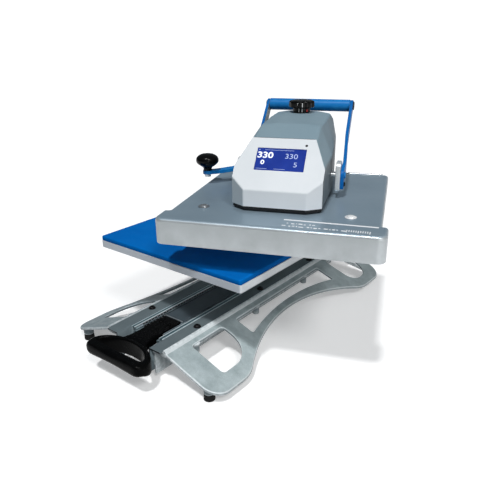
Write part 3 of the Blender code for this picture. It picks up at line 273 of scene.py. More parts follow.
MAT = {
    "cast": surface("cast_silver", (0.325, 0.40, 0.42), (0.44, 0.53, 0.55), 16.0, (0.40, 0.54), 0.2, 700.0, 0.2, 0.22, speckle=0.14, lumps=(95.0, 0.22, 0.7), edge_wear_and_highlight=(0.78, 0.83, 0.85), pits=(210.0, 0.045, (0.7, 0.7, 0.68)), specular=0.2),
    # lit and shaded copies of the cast finish for the right and left wings: painted light and painted shade, with
    # darker walls (painted shade) and lighter sloping edges (painted highlight)
    "cast_lit_copy": surface("cast_painted_light", (0.335, 0.405, 0.42), (0.52, 0.605, 0.622), 30.0, (0.38, 0.54), 0.2, 700.0, 0.2, 0.22, speckle=0.16, lumps=(95.0, 0.24, 0.7), edge_wear_and_highlight=(0.78, 0.83, 0.85), pits=(210.0, 0.045, (0.7, 0.7, 0.68)), specular=0.2, painted_wall_shading=((0.215, 0.262, 0.28), 0.05, 0.22), painted_edge_highlight=(0.66, 0.72, 0.74)),
    "cast_shaded_copy": surface("cast_painted_shade", (0.205, 0.26, 0.285), (0.32, 0.39, 0.415), 30.0, (0.38, 0.54), 0.2, 700.0, 0.2, 0.22, speckle=0.16, lumps=(95.0, 0.24, 0.7), edge_wear_and_highlight=(0.60, 0.65, 0.67), pits=(210.0, 0.045, (0.7, 0.7, 0.68)), specular=0.2, painted_wall_shading=((0.16, 0.20, 0.22), 0.05, 0.22), painted_edge_highlight=(0.50, 0.56, 0.59)),
    "iron": surface("cast_iron", (0.028, 0.030, 0.033), (0.052, 0.056, 0.060), 24.0, (0.42, 0.6), 0.35, 600.0, 0.3, 0.3, speckle=0.3, lumps=(120.0, 0.3, 0.8), edge_wear_and_highlight=(0.14, 0.15, 0.16)),
    # front ends of the rails darker: painted shade
    "rail": surface("rail_dark", (0.120, 0.153, 0.167), (0.150, 0.187, 0.202), 9.0, (0.38, 0.48), 0.2, 900.0, 0.06, 0.06, stretch=(1.0, 0.05, 1.0), speckle=0.08, specular=0.2, ends=(0.020, 0.024, 0.027)),
    "slate": surface("carriage_dark", (0.044, 0.062, 0.074), (0.058, 0.078, 0.092), 9.0, (0.4, 0.5), 0.2, 900.0, 0.06, 0.06, stretch=(1.0, 0.05, 1.0), speckle=0.1, specular=0.2, edge_wear_and_highlight=(0.20, 0.25, 0.28)),
    "screw": surface("screw_black", (0.004, 0.004, 0.0045), (0.011, 0.011, 0.012), 90.0, (0.28, 0.42), 0.1, 1500.0, 0.15, 0.1, speckle=0.2, specular=0.15),
    "washer": surface("washer_bright", (0.50, 0.52, 0.54), (0.68, 0.70, 0.72), 60.0, (0.24, 0.38), 0.9, 1500.0, 0.12, 0.08, speckle=0.15),
    # a white finish that stands for the glint on a stud: painted highlight
    "stud": surface("stud_painted_glint", (0.86, 0.87, 0.88), (0.94, 0.95, 0.95), 60.0, (0.3, 0.4), 0.2, 1500.0, 0.08, 0.06, speckle=0.08),
    "rubber": surface("rubber_black", (0.005, 0.005, 0.005), (0.012, 0.012, 0.012), 70.0, (0.55, 0.75), 0.0, 1300.0, 0.35, 0.25, speckle=0.25, specular=0.15),
    "zinc": surface("zinc_plate", (0.070, 0.125, 0.150), (0.105, 0.165, 0.190), 30.0, (0.26, 0.38), 0.45, 800.0, 0.1, 0.08, stretch=(1.0, 0.05, 1.0), speckle=0.16, edge_wear_and_highlight=(0.42, 0.52, 0.56)),
    # bright stripes along the ridges of the slide: painted highlights, with painted shade between
    "channel": surface("zinc_channel", (0.060, 0.115, 0.140), (0.095, 0.155, 0.180), 30.0, (0.26, 0.38), 0.4, 800.0, 0.1, 0.08, stretch=(1.0, 0.05, 1.0), speckle=0.16, bands=[(36.8, (0.82, 0.91, 0.94)), (39.0, (0.70, 0.82, 0.86)), (39.7, (0.045, 0.10, 0.125)), (44.2, (0.065, 0.125, 0.15)), (45.2, (0.60, 0.72, 0.76)), (47.4, (0.72, 0.83, 0.86))]),
    "gloss": surface("black_gloss", (0.0022, 0.0023, 0.0025), (0.0042, 0.0044, 0.0047), 40.0, (0.16, 0.26), 0.0, 900.0, 0.05, 0.06, speckle=0.15, specular=0.12),
    "moulded": surface("black_moulded", (0.0016, 0.0017, 0.0018), (0.0034, 0.0036, 0.0038), 40.0, (0.2, 0.3), 0.0, 900.0, 0.08, 0.08, speckle=0.2, specular=0.03),
    "matte": surface("black_matte", (0.007, 0.007, 0.008), (0.013, 0.013, 0.015), 60.0, (0.45, 0.6), 0.0, 1400.0, 0.3, 0.18, speckle=0.25, specular=0.3),
    # front-facing faces of the plate darker: painted shade
    "plate": surface("platen_aluminium", (0.62, 0.65, 0.68), (0.74, 0.77, 0.79), 20.0, (0.36, 0.5), 0.3, 420.0, 0.1, 0.08, stretch=(1.0, 1.0, 12.0), speckle=0.08, ends=(0.47, 0.51, 0.56)),
    "heat": surface("heat_plate_aluminium", (0.36, 0.37, 0.38), (0.52, 0.53, 0.54), 18.0, (0.34, 0.5), 0.9, 380.0, 0.15, 0.1, stretch=(1.0, 14.0, 1.0), speckle=0.18, edge_wear_and_highlight=(0.66, 0.67, 0.68)),
    "pad": surface("silicone_blue", (0.0, 0.122, 0.455), (0.0005, 0.150, 0.52), 9.0, (0.55, 0.7), 0.0, 1100.0, 0.22, 0.16, speckle=0.1, specular=0.04, lumps=(45.0, 0.08, 0.6)),
    # walls of the cover lighter than its top: painted reflected light; its edges lighter: edge wear and painted
    # highlight
    "cover": surface("cover_silver", (0.275, 0.372, 0.450), (0.325, 0.424, 0.502), 6.0, (0.32, 0.42), 0.45, 1400.0, 0.06, 0.06, speckle=0.05, lumps=(30.0, 0.03, 0.8), edge_wear_and_highlight=(0.72, 0.76, 0.79), painted_wall_shading=((0.40, 0.432, 0.442), 0.45, 0.85)),
    # left-facing faces of the bezel darker: painted shade
    "bezel": surface("bezel_silver", (0.625, 0.66, 0.688), (0.668, 0.70, 0.726), 10.0, (0.54, 0.60), 0.05, 1700.0, 0.05, 0.05, speckle=0.03, specular=0.3, left=(0.40, 0.455, 0.49)),
    # walls of the housing darker than its roof: painted shade
    "shell": surface("shell_grey", (0.215, 0.308, 0.365), (0.242, 0.336, 0.392), 8.0, (0.44, 0.54), 0.05, 1500.0, 0.1, 0.08, speckle=0.06, lumps=(220.0, 0.04, 0.3), specular=0.25, painted_wall_shading=((0.108, 0.137, 0.156), 0.05, 0.45)),
    "blue": surface("handle_blue", (0.001, 0.125, 0.425), (0.002, 0.152, 0.49), 20.0, (0.36, 0.46), 0.0, 1500.0, 0.12, 0.1, speckle=0.08, lumps=(260.0, 0.06, 0.3), edge_wear_and_highlight=(0.02, 0.24, 0.58), specular=0.14),
    # faces of the straps that look to the middle of the machine grey: painted shade
    "strap": surface("strap_blue", (0.001, 0.112, 0.39), (0.002, 0.138, 0.45), 20.0, (0.36, 0.46), 0.0, 1500.0, 0.12, 0.1, speckle=0.08, lumps=(260.0, 0.06, 0.3), specular=0.14, inner=(0.19, 0.235, 0.255)),
    "chrome": surface("bright_steel", (0.60, 0.63, 0.65), (0.74, 0.77, 0.78), 40.0, (0.26, 0.38), 0.45, 700.0, 0.06, 0.06, stretch=(1.0, 1.0, 8.0), speckle=0.1),
    "steel": surface("steel", (0.30, 0.32, 0.34), (0.44, 0.46, 0.48), 40.0, (0.26, 0.4), 0.95, 700.0, 0.12, 0.08, speckle=0.18),
    "bronze": surface("bronze", (0.36, 0.22, 0.09), (0.50, 0.33, 0.14), 50.0, (0.28, 0.42), 0.95, 700.0, 0.1, 0.08, speckle=0.15),
    "board": surface("board_green", (0.006, 0.10, 0.035), (0.012, 0.15, 0.05), 80.0, (0.3, 0.45), 0.0, 900.0, 0.1, 0.08, speckle=0.3),
    "lcd": glow("screen_blue", (0.008, 0.028, 0.235), (0.012, 0.040, 0.29), 26.0, 0.12, 0.55, 0.08),
    "digit": glow("digit_white", (0.78, 0.82, 0.92), (0.90, 0.93, 0.98), 60.0, 0.25, 0.5, 0.2),
    "soft_digit": glow("digit_pale", (0.40, 0.50, 0.78), (0.50, 0.60, 0.86), 60.0, 0.14, 0.5, 0.2),
    "print": surface("rule_print", (0.86, 0.88, 0.90), (0.95, 0.96, 0.97), 120.0, (0.4, 0.55), 0.0, 1800.0, 0.1, 0.05, speckle=0.08),
    "red": surface("mark_red", (0.40, 0.01, 0.01), (0.56, 0.02, 0.02), 120.0, (0.35, 0.5), 0.0, 1800.0, 0.1, 0.05, speckle=0.15),
    # pale strips on the knob: pointer marks that also stand as painted highlights
    "mark": surface("mark_white_and_painted_highlight", (0.66, 0.67, 0.66), (0.82, 0.83, 0.82), 120.0, (0.4, 0.55), 0.0, 1800.0, 0.1, 0.05, speckle=0.15),
}


# ---- mesh helpers -------------------------------------------------------------------
def make(name, bm, material, body, place=BASE, replaces=(), bevel=0.0, segments=3, limit=30.0, smooth=32.0, weighted=True):
    """A piece from a mesh in millimetres, riding on a body."""
    bmesh.ops.remove_doubles(bm, verts=bm.verts, dist=1e-4)
    bmesh.ops.recalc_face_normals(bm, faces=bm.faces)
    bmesh.ops.scale(bm, vec=(MM, MM, MM), verts=bm.verts)
    mesh = bpy.data.meshes.new(name)
    bm.to_mesh(mesh)
    bm.free()
    return piece(name, mesh, material, body, place, replaces, bevel, segments, limit, smooth, weighted)


def piece(name, mesh, material, body, place, replaces=(), bevel=0.0, segments=3, limit=30.0, smooth=32.0, weighted=True):
    obj = bpy.data.objects.new(name, mesh)
    bpy.context.scene.collection.objects.link(obj)
    obj.matrix_world = place
    mesh.materials.clear()
    mesh.materials.append(MAT[material])
    mesh.shade_smooth()
    if bevel:
        edge = obj.modifiers.new("edge", "BEVEL")
        edge.width = bevel * MM
        edge.segments = segments
        edge.limit_method = "ANGLE"
        edge.angle_limit = math.radians(limit)
        edge.harden_normals = True
        edge.miter_outer = "MITER_ARC"
    else:
        mesh.set_sharp_from_angle(angle=math.radians(smooth))
        if weighted:
            even = obj.modifiers.new("even", "WEIGHTED_NORMAL")
            even.keep_sharp = True
            even.weight = 60
    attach(obj, body)
    if replaces:
        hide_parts(*replaces)
    return obj


def baked(obj):
    """Replace the mesh by what its modifiers make of it."""
    bpy.context.view_layer.update()
    graph = bpy.context.evaluated_depsgraph_get()
    mesh = bpy.data.meshes.new_from_object(obj.evaluated_get(graph))
    obj.modifiers.clear()
    obj.data = mesh
    return obj


def cut(obj, *tools):
    """Cut closed meshes, in millimetres in the piece's own frame, out of a piece."""
    place = obj.matrix_world.copy()
    made = []
    for bm in tools:
        bmesh.ops.recalc_face_normals(bm, faces=bm.faces)
        bmesh.ops.scale(bm, vec=(MM, MM, MM), verts=bm.verts)
        mesh = bpy.data.meshes.new("tool")
        bm.to_mesh(mesh)
        bm.free()
        tool = bpy.data.objects.new("tool", mesh)
        bpy.context.scene.collection.objects.link(tool)
        tool.matrix_world = place
        change = obj.modifiers.new("cut", "BOOLEAN")
        change.operation = "DIFFERENCE"
        change.solver = "EXACT"
        change.object = tool
        made.append(tool)
    baked(obj)
    for tool in made:
        bpy.data.objects.remove(tool, do_unlink=True)
    return obj


def dress(name, material, bevel=0.0, segments=2):
    """Keep a CAD node and give it its finish, with its edges eased."""
    obj = frame["nodes"][name]
    obj.data.materials.clear()
    obj.data.materials.append(MAT[material])
    if bevel:
        weld = obj.modifiers.new("weld", "WELD")
        weld.merge_threshold = 2e-6
        edge = obj.modifiers.new("edge", "BEVEL")
        edge.width = bevel * MM
        edge.segments = segments
        edge.limit_method = "ANGLE"
        edge.angle_limit = math.radians(32)
        edge.harden_normals = True
    return obj


def add(bm, other):
    """Append one mesh to another."""
    mesh = bpy.data.meshes.new("part")
    other.to_mesh(mesh)
    other.free()
    bm.from_mesh(mesh)
    bpy.data.meshes.remove(mesh)
    return bm


def loft(rings, caps=True, closed=False):
    bm = bmesh.new()
    made = [[bm.verts.new(p) for p in ring] for ring in rings]
    count = len(rings[0])
    pairs = list(zip(made, made[1:])) + ([(made[-1], made[0])] if closed else [])
    for low, high in pairs:
        for i in range(count):
            j = (i + 1) % count
            bm.faces.new((low[i], low[j], high[j], high[i]))
    if caps and not closed:
        bm.faces.new(list(reversed(made[0])))
        bm.faces.new(made[-1])
    return bm


def prism(outline, z0, z1):
    return loft([[(x, y, z0) for x, y in outline], [(x, y, z1) for x, y in outline]])


def prism_y(outline, y0, y1):
    return loft([[(x, y0, z) for x, z in outline], [(x, y1, z) for x, z in outline]])


def prism_x(outline, x0, x1):
    return loft([[(x0, y, z) for y, z in outline], [(x1, y, z) for y, z in outline]])


def box(x0, x1, y0, y1, z0, z1):
    return prism([(x0, y0), (x1, y0), (x1, y1), (x0, y1)], z0, z1)


def circle(cx, cy, r, count):
    return [(cx + r * math.cos(2 * math.pi * i / count), cy + r * math.sin(2 * math.pi * i / count)) for i in range(count)]


def cylinder(cx, cy, r, z0, z1, count=32):
    return prism(circle(cx, cy, r, count), z0, z1)


def cylinder_x(cy, cz, r, x0, x1, count=32):
    return prism_x(circle(cy, cz, r, count), x0, x1)


def turned(profile, count=40, centre=(0.0, 0.0), turn=None):
    """A round body from (radius, z) points; turn maps the finished mesh."""
    bm = bmesh.new()
    rows = []
    for r, z in profile:
        if r < 1e-6:
            rows.append([bm.verts.new((centre[0], centre[1], z))] * count)
        else:
            rows.append([bm.verts.new((x, y, z)) for x, y in circle(centre[0], centre[1], r, count)])
    for low, high in zip(rows, rows[1:]):
        for i in range(count):
            j = (i + 1) % count
            corners = []
            for vert in (low[i], low[j], high[j], high[i]):
                if vert not in corners:
                    corners.append(vert)
            if len(corners) > 2:
                bm.faces.new(corners)
    if turn is not None:
        bmesh.ops.transform(bm, matrix=turn, verts=bm.verts)
    return bm


def arc(cr, cz, r, start, stop, steps=5):
    """Points of an arc in a turned profile, angles in degrees."""
    return [
        (cr + r * math.cos(math.radians(start + (stop - start) * k / steps)), cz + r * math.sin(math.radians(start + (stop - start) * k / steps)))
        for k in range(steps + 1)
    ]


def fillet(points, radii, steps=6):
    out = []
    count = len(points)
    for i, (point, r) in enumerate(zip(points, radii)):
        p = Vector(point)
        before, after = Vector(points[i - 1]), Vector(points[(i + 1) % count])
        a, b = (before - p).normalized(), (after - p).normalized()
        if r <= 0:
            out.append(tuple(p))
            continue
        half = a.angle(b) / 2
        start, end = p + a * (r / math.tan(half)), p + b * (r / math.tan(half))
        centre = p + (a + b).normalized() * (r / math.sin(half))
        first, last = start - centre, end - centre
        turn = first.angle_signed(last)
        for k in range(steps + 1):
            angle = -turn * k / steps
            c, s = math.cos(angle), math.sin(angle)
            out.append((centre.x + first.x * c - first.y * s, centre.y + first.x * s + first.y * c))
    return out


def curve3(p0, p1, p2, steps):
    return [
        tuple(Vector(p0) * (1 - t) ** 2 + Vector(p1) * 2 * t * (1 - t) + Vector(p2) * t * t)
        for t in (k / steps for k in range(steps + 1))
    ]


def bow_x(y, radius, apex, middle):
    return apex + radius - math.sqrt(radius * radius - (y - middle) ** 2)


def tidy(loop):
    out = []
    for p in loop:
        if not out or math.hypot(p[0] - out[-1][0], p[1] - out[-1][1]) > 1e-3:
            out.append((p[0], p[1]))
    if math.hypot(out[0][0] - out[-1][0], out[0][1] - out[-1][1]) <= 1e-3:
        out.pop()
    return out


def area(loop):
    return 0.5 * sum(a[0] * b[1] - b[0] * a[1] for a, b in zip(loop, loop[1:] + loop[:1]))


def wound(loop, positive):
    loop = tidy(loop)
    return loop if (area(loop) > 0) == positive else list(reversed(loop))


def inset(loop, d):
    """Move a loop into the material, which lies on its left."""
    out = []
    count = len(loop)
    for i, p in enumerate(loop):
        a, b = Vector(loop[i - 1]), Vector(loop[(i + 1) % count])
        p = Vector(p)
        e, f = (p - a).normalized(), (b - p).normalized()
        n, m = Vector((-e.y, e.x)), Vector((-f.y, f.x))
        out.append(tuple(p + (n + m) * (d / max(0.35, 1 + n.dot(m)))))
    return out


def slab(outer, holes, rings, lift=None):
    """A plate with holes. rings are (inset, z) from the underside to the top; z may be a function of the point."""
    loops = [wound(outer, True)] + [wound(h, False) for h in holes]
    bm = bmesh.new()
    rows = []
    for d, z in rings:
        row = []
        for loop in loops:
            points = inset(loop, d) if d else loop
            row.append([bm.verts.new((x, y, (z(x, y) if callable(z) else z) + (lift(x, y) if lift else 0.0))) for x, y in points])
        rows.append(row)
    for low, high in zip(rows, rows[1:]):
        for a, b in zip(low, high):
            count = len(a)
            for i in range(count):
                j = (i + 1) % count
                bm.faces.new((a[i], a[j], b[j], b[i]))
    for row, flip in ((rows[0], True), (rows[-1], False)):
        flat = [[Vector((v.co.x, v.co.y, 0.0)) for v in loop] for loop in row]
        verts = [v for loop in row for v in loop]
        for tri in tessellate_polygon(flat):
            corners = [verts[i] for i in tri]
            if flip:
                corners.reverse()
            try:
                bm.faces.new(corners)
            except ValueError:
                pass
    return bm


def eased(z0, z1, low, top, steps=4):
    """Rings of a plate with its lower edge eased by low and its upper edge rounded by top."""
    rings = [(low, z0), (low * 0.3, z0 + low * 0.3), (0.0, z0 + low)] if low else [(0.0, z0)]
    if top:
        for k in range(steps + 1):
            a = math.radians(90 * k / steps)
            rings.append((top * (1 - math.cos(a)), z1 - top + top * math.sin(a)))
    else:
        rings.append((0.0, z1))
    return rings


def rounded(x0, x1, y0, y1, r, steps=5):
    return fillet([(x0, y0), (x1, y0), (x1, y1), (x0, y1)], [r] * 4, steps)


def block(x0, x1, y0, y1, z0, z1, r=3.0, low=0.8, top=1.5):
    return slab(rounded(x0, x1, y0, y1, r), [], eased(z0, z1, low, top))


def flipped(bm, side):
    if side < 0:
        bmesh.ops.scale(bm, vec=(-1, 1, 1), verts=bm.verts)
    return bm


def moved(bm, matrix):
    bmesh.ops.transform(bm, matrix=matrix, verts=bm.verts)
    return bm


def shift(x, y, z):
    return Matrix.Translation((x, y, z))


TO_X = Matrix.Rotation(math.radians(90), 4, "Y")


def socket_screw(x, y, z, r, h, hexagon=0.48, count=36):
    """A button head with a six-sided socket, standing at z."""
    hex_ring = []
    for k in range(count):
        a = 2 * math.pi * k / count
        inside = (a % (math.pi / 3)) - math.pi / 6
        hex_ring.append(r * hexagon * math.cos(math.pi / 6) / math.cos(inside))
    rings = []
    for share, height in ((0.96, 0.0), (1.0, 0.14), (0.98, 0.38), (0.88, 0.66), (0.72, 0.88), (0.62, 0.97)):
        rings.append([(x + r * share * math.cos(2 * math.pi * k / count), y + r * share * math.sin(2 * math.pi * k / count), z + h * height) for k in range(count)])
    for grow, height in ((1.08, 1.0), (1.0, 0.94), (0.98, 0.3), (0.4, 0.22)):
        rings.append([(x + hex_ring[k] * grow * math.cos(2 * math.pi * k / count), y + hex_ring[k] * grow * math.sin(2 * math.pi * k / count), z + h * height) for k in range(count)])
    return loft(rings)


def washer(x, y, z, r_in, r_out, h, count=36):
    rings = []
    for r, dz in ((r_in, 0.0), (r_out - 0.3, 0.0), (r_out, h * 0.4), (r_out - 0.35, h), (r_in, h)):
        rings.append([(x + r * math.cos(2 * math.pi * k / count), y + r * math.sin(2 * math.pi * k / count), z + dz) for k in range(count)])
    return loft(rings, closed=True)


# ---- base castings ------------------------------------------------------------------
WING_IN, WING_OUT, WING_FRONT, WING_REAR, WING_TOP, WING_SLOPE = 79.5, 218.0, 7.0, 722.0, 73.3, 0.365
ARCH_R, ARCH_APEX, ARCH_Y = 450.0, 146.0, 358.0
BOW_R, BOW_APEX, BOW_Y = 645.0, 128.0, 377.0
BOSS_YS, FOOT_X, FOOT_YS = (82.0, 288.0, 496.0), 184.3, (23.5, 700.0)


def wing_z(x, y):
    return WING_TOP - WING_SLOPE * (abs(x) - WING_IN)


def wing_outline():
    front, rear = 138.0, 2 * ARCH_Y - 138.0
    arch = lambda y: (bow_x(y, ARCH_R, ARCH_APEX, ARCH_Y), y)
    ends = fillet(
        [(WING_IN, WING_FRONT), (WING_OUT, WING_FRONT), (WING_OUT, WING_REAR), (WING_IN, WING_REAR)], [0, 38, 42, 0], 12
    )
    lower, upper = [p for p in ends if p[1] < 300], [p for p in ends if p[1] > 300]
    steps = 36
    middle = [arch(front + (rear - front) * k / steps) for k in range(1, steps)]
    return (
        lower
        + curve3((WING_OUT, 90.0), (WING_OUT, 114.0), arch(front), 10)
        + middle
        + curve3(arch(rear), (WING_OUT, 602.0), (WING_OUT, 626.0), 10)
        + upper
    )


def wing_windows():
    front = fillet([(101, 66.5), (184.7, 66.5), (184.7, 163), (101, 163)], [6, 8, 60, 10], 12)
    rear = fillet([(101, 605), (190.5, 605), (190.5, 692), (101, 692)], [8, 30, 45, 8], 10)
    y0, y1, steps = 207.0, 555.0, 36
    outer = [(bow_x(y, BOW_R, BOW_APEX, BOW_Y), y) for y in (y0 + (y1 - y0) * k / steps for k in range(steps + 1))]
    middle = fillet([(103, y0)] + outer + [(103, y1)], [5, 4] + [0] * (steps - 1) + [4, 5], 5)
    return front, middle, rear


def wing(label, side):
    turn = (lambda loop: [(-x, y) for x, y in loop]) if side < 0 else (lambda loop: loop)
    bm = slab(turn(wing_outline()), [turn(w) for w in wing_windows()], eased(-6.5, 0.0, 0.9, 2.4), wing_z)
    # flat ledge under the rail flange, with the rounded bead along its edge
    bead = [(50.9, 61.0), (84.0, 61.0), (90.5, 66.5), (90.2, 69.6), (88.2, 72.4), (86.0, 74.6), (84.0, 75.8), (82.0, 76.1), (80.6, 75.6), (79.9, 74.4), (79.7, 72.6), (79.4, 71.0), (50.9, 71.0)]
    ends = ((7.4, 0.82), (8.2, 0.95), (9.6, 1.0), (719.4, 1.0), (720.8, 0.95), (721.6, 0.82))
    add(bm, flipped(loft([[(x, y, 61 + (z - 61) * s) for x, z in bead] for y, s in ends]), side))
    add(bm, flipped(slab(rounded(50.9, 57.0, 8.0, 721.0, 1.2), [], eased(11.5, 66.0, 1.0, 0.5)), side))
    # walls under the inner edges of the windows, with their half-round bosses
    for x0, x1, y0, y1 in ((96.6, 100.9, 66.0, 160.0), (98.4, 102.9, 206.0, 556.0), (96.6, 100.9, 604.0, 693.0)):
        add(bm, flipped(slab(rounded(x0, x1, y0, y1, 1.6), [], eased(57.0, 63.0, 1.2, 0.4)), side))
    for y in BOSS_YS:
        profile = [(0, 41.6), (3.0, 41.6), (3.4, 41.1), (6.2, 41.1), (7.4, 41.9), (8.0, 43.2), (8.2, 55.0), (8.8, 59.5), (10.0, 62.8), (0, 63.4)]
        add(bm, flipped(turned(profile, 32, (96.8, y)), side))
    for y in FOOT_YS:
        count = 40
        rings = []
        for r, z in ((0.1, 13.9), (9.6, 13.9), (10.8, 14.8), (11.0, 16.2), (11.2, 21.0)):
            rings.append([(px, py, z) for px, py in circle(FOOT_X, y, r, count)])
        for r, drop in ((12.0, 9.0), (14.5, 6.2)):
            rings.append([(px, py, wing_z(px, py) - drop) for px, py in circle(FOOT_X, y, r, count)])
        add(bm, flipped(loft(rings), side))
    # ribs under the plate, from the web out to the feet and across the waist
    for y0, y1, x1 in ((34.0, 40.0, 176.0), (182.0, 188.0, 152.0), (578.0, 584.0, 152.0), (684.0, 690.0, 176.0)):
        outline = [(56.0, 24.0), (56.0, 62.0), (90.0, 62.5), (x1, wing_z(x1, 0) - 5.5), (x1, wing_z(x1, 0) - 9.0), (92.0, 46.0)]
        add(bm, flipped(prism_y(outline, y0, y1), side))
    # the right casting takes the lit copy of the cast finish and the left the shaded copy: painted light and painted
    # shade
    return make("casting_" + label, bm, "cast_lit_copy" if side > 0 else "cast_shaded_copy", "base", replaces=["wing_" + label])


for label, side in SIDES:
    wing(label, side)

# ---- rails, screws and feet ---------------------------------------------------------
SCREW_X, SCREW_YS = 69.2, (118.0, 343.0, 568.0)
for label, side in SIDES:
    section = fillet(
        [(47.6, 20.0), (50.6, 20.0), (50.6, 71.3), (78.9, 71.3), (78.9, 74.3), (47.6, 74.3)],
        [1.2, 1.2, 1.0, 1.3, 1.3, 3.0],
        5,
    )
    bm = loft([[(x, y, z) for x, z in section] for y in (0.0, 0.01, 759.99, 760.0)])
    make("track_" + label, flipped(bm, side), "rail", "base", replaces=["rail_" + label], bevel=0.5, limit=50)
    for number, y in enumerate(SCREW_YS, 1):
        bm = socket_screw(SCREW_X, y, 75.1, 7.2, 4.2)
        add(bm, cylinder(SCREW_X, y, 2.9, 64.0, 75.6, 20))
        screw = make(f"screw_{label}_{number}", flipped(bm, side), "screw", "base", replaces=[f"rail_screw_{label}_{number}"], smooth=40)
        make(f"screw_washer_{label}_{number}", flipped(washer(SCREW_X, y, 74.35, 3.1, 8.3, 0.8), side), "screw", "base", smooth=40)
    for end, y in zip(("front", "rear"), FOOT_YS):
        profile = [(0, 0.6), (6.5, 0.6), (7.0, 0.0), (9.6, 0.0)] + arc(9.9, 1.6, 1.6, -90, 0, 4) + [(11.35, 4.6), (10.7, 5.2), (10.7, 6.0), (11.2, 6.6)]
        profile += [(10.8, 12.2)] + arc(9.6, 12.4, 1.2, 0, 90, 3) + [(0, 13.6)]
        make(f"rubber_{end}_{label}", flipped(turned(profile, 40, (FOOT_X, y)), side), "rubber", "base", replaces=[f"foot_{end}_{label}"], smooth=45)

# ---- telescopic slides --------------------------------------------------------------
for label, side in SIDES:
    # the outer member carries two rolled ridges along its top
    outer = [(47.3, 22), (47.3, 72.6), (46.6, 73.7), (45.8, 74.0), (44.6, 73.3), (43.4, 73.3), (42.6, 74.0), (41.6, 74.0), (40.8, 73.3), (39.6, 73.3), (38.8, 74.0), (37.6, 74.0), (37.0, 73.4)]
    outer += [(37.0, 72.2), (45.3, 72.0), (45.3, 24), (37, 24), (37, 22)]
    make("slide_a_" + label, flipped(loft([[(x, y, z) for x, z in outer] for y in (38.0, 560.0)]), side), "channel", "base", replaces=["slide_outer_" + label], bevel=0.3, segments=2, limit=60)
    mid = [(33.2, 26), (44.6, 26), (44.6, 28), (40.4, 28), (40.4, 68), (44.6, 68), (44.6, 70), (33.2, 70), (33.2, 68), (38.4, 68), (38.4, 28), (33.2, 28)]
    mid = fillet(mid, [0.9, 0.9, 0.9, 0.6, 0.6, 0.9, 0.9, 0.9, 0.9, 0.6, 0.6, 0.9], 3)
    make("slide_b_" + label, flipped(loft([[(x, y, z) for x, z in mid] for y in (40.0, 520.0)]), side), "zinc", "slide_mid", replaces=["slide_mid_" + label], bevel=0.3, segments=2, limit=60)
    inner = fillet([(28.9, 30), (37.4, 30), (37.4, 32), (30.9, 32), (30.9, 64), (37.4, 64), (37.4, 66), (28.9, 66)], [2.0, 0.9, 0.9, 0.6, 0.6, 0.9, 0.9, 2.0], 4)
    make("slide_c_" + label, flipped(loft([[(x, y, z) for x, z in inner] for y in (38.0, 548.0)]), side), "zinc", "drawer", replaces=["slide_inner_" + label], bevel=0.3, segments=2, limit=60)
    # ball cages between the sliding members: a strip with a window for every ball
    cage, balls = bmesh.new(), bmesh.new()
    for x0, x1, z, first, last in ((29.4, 33.0, 66.3, 60.0, 500.0), (33.6, 37.0, 70.3, 60.0, 508.0)):
        count = int((last - first) / 9.0)
        for xa, xb in ((x0, x0 + 0.7), (x1 - 0.7, x1)):
            add(cage, box(xa, xb, first, first + count * 9.0 + 3.0, z, z + 1.1))
        for k in range(count + 1):
            y = first + 9.0 * k
            add(cage, box(x0, x1, y, y + 3.0, z + 0.05, z + 1.05))
            if k < count:
                centre = Vector(((x0 + x1) / 2, y + 6.0, z + 0.55))
                bmesh.ops.create_uvsphere(balls, u_segments=10, v_segments=6, radius=0.74, matrix=Matrix.Translation(centre) @ Matrix.Diagonal((1.3, 2.2, 1.0, 1.0)))
    make("ball_cage_" + label, flipped(cage, side), "screw", "slide_mid", smooth=30)
    make("balls_" + label, flipped(balls, side), "chrome", "slide_mid", smooth=80, weighted=False)

# ---- column -------------------------------------------------------------------------
COLUMN_Y = 703.0
bm = slab(rounded(-105.0, 105.0, 645.0, 762.0, 14.0, 8), [], eased(74.6, 88.0, 1.2, 3.0))
profile = [(0, 80.0), (62.0, 80.0), (61.0, 88.6), (58.0, 91.5), (54.0, 96.0), (50.5, 104.0), (48.6, 116.0), (47.6, 140.0), (46.4, 200.0), (45.0, 290.0), (44.4, 310.0), (44.4, 314.4)]
profile += arc(42.0, 315.6, 2.4, 0, 90, 4) + [(25.3, 318.0), (25.3, 232.0), (0, 232.0)]
add(bm, turned(profile, 56, (0.0, COLUMN_Y)))
for angle, reach in ((40, 84.0), (140, 84.0), (220, 76.0), (320, 76.0)):
    rib = slab(fillet([(30, 82), (reach, 82), (reach, 92), (44, 178), (30, 178)], [0, 0, 3, 6, 0], 4), [], eased(-5.0, 5.0, 1.6, 1.6))
    stand = Matrix(((0, 0, 1, 0), (1, 0, 0, 0), (0, 1, 0, 0), (0, 0, 0, 1)))
    add(bm, moved(rib, shift(0, COLUMN_Y, 0) @ Matrix.Rotation(math.radians(angle - 90), 4, "Z") @ stand))
make("column", bm, "cast", "base", replaces=["column_casting"], smooth=35)
bolts = bmesh.new()
for x, y in ((-88, 660), (88, 660), (-88, 747), (88, 747)):
    hexagon = [(r * math.cos(math.pi * k / 3), r * math.sin(math.pi * k / 3)) for k in range(6) for r in (8.0,)]
    add(bolts, slab([(x + px, y + py) for px, py in hexagon], [], eased(89.4, 94.6, 0.4, 0.9)))
    add(bolts, washer(x, y, 88.0, 4.0, 10.5, 1.5))
make("column_bolts", bolts, "steel", "base", smooth=35)
dress("column_post", "chrome", 0.8)

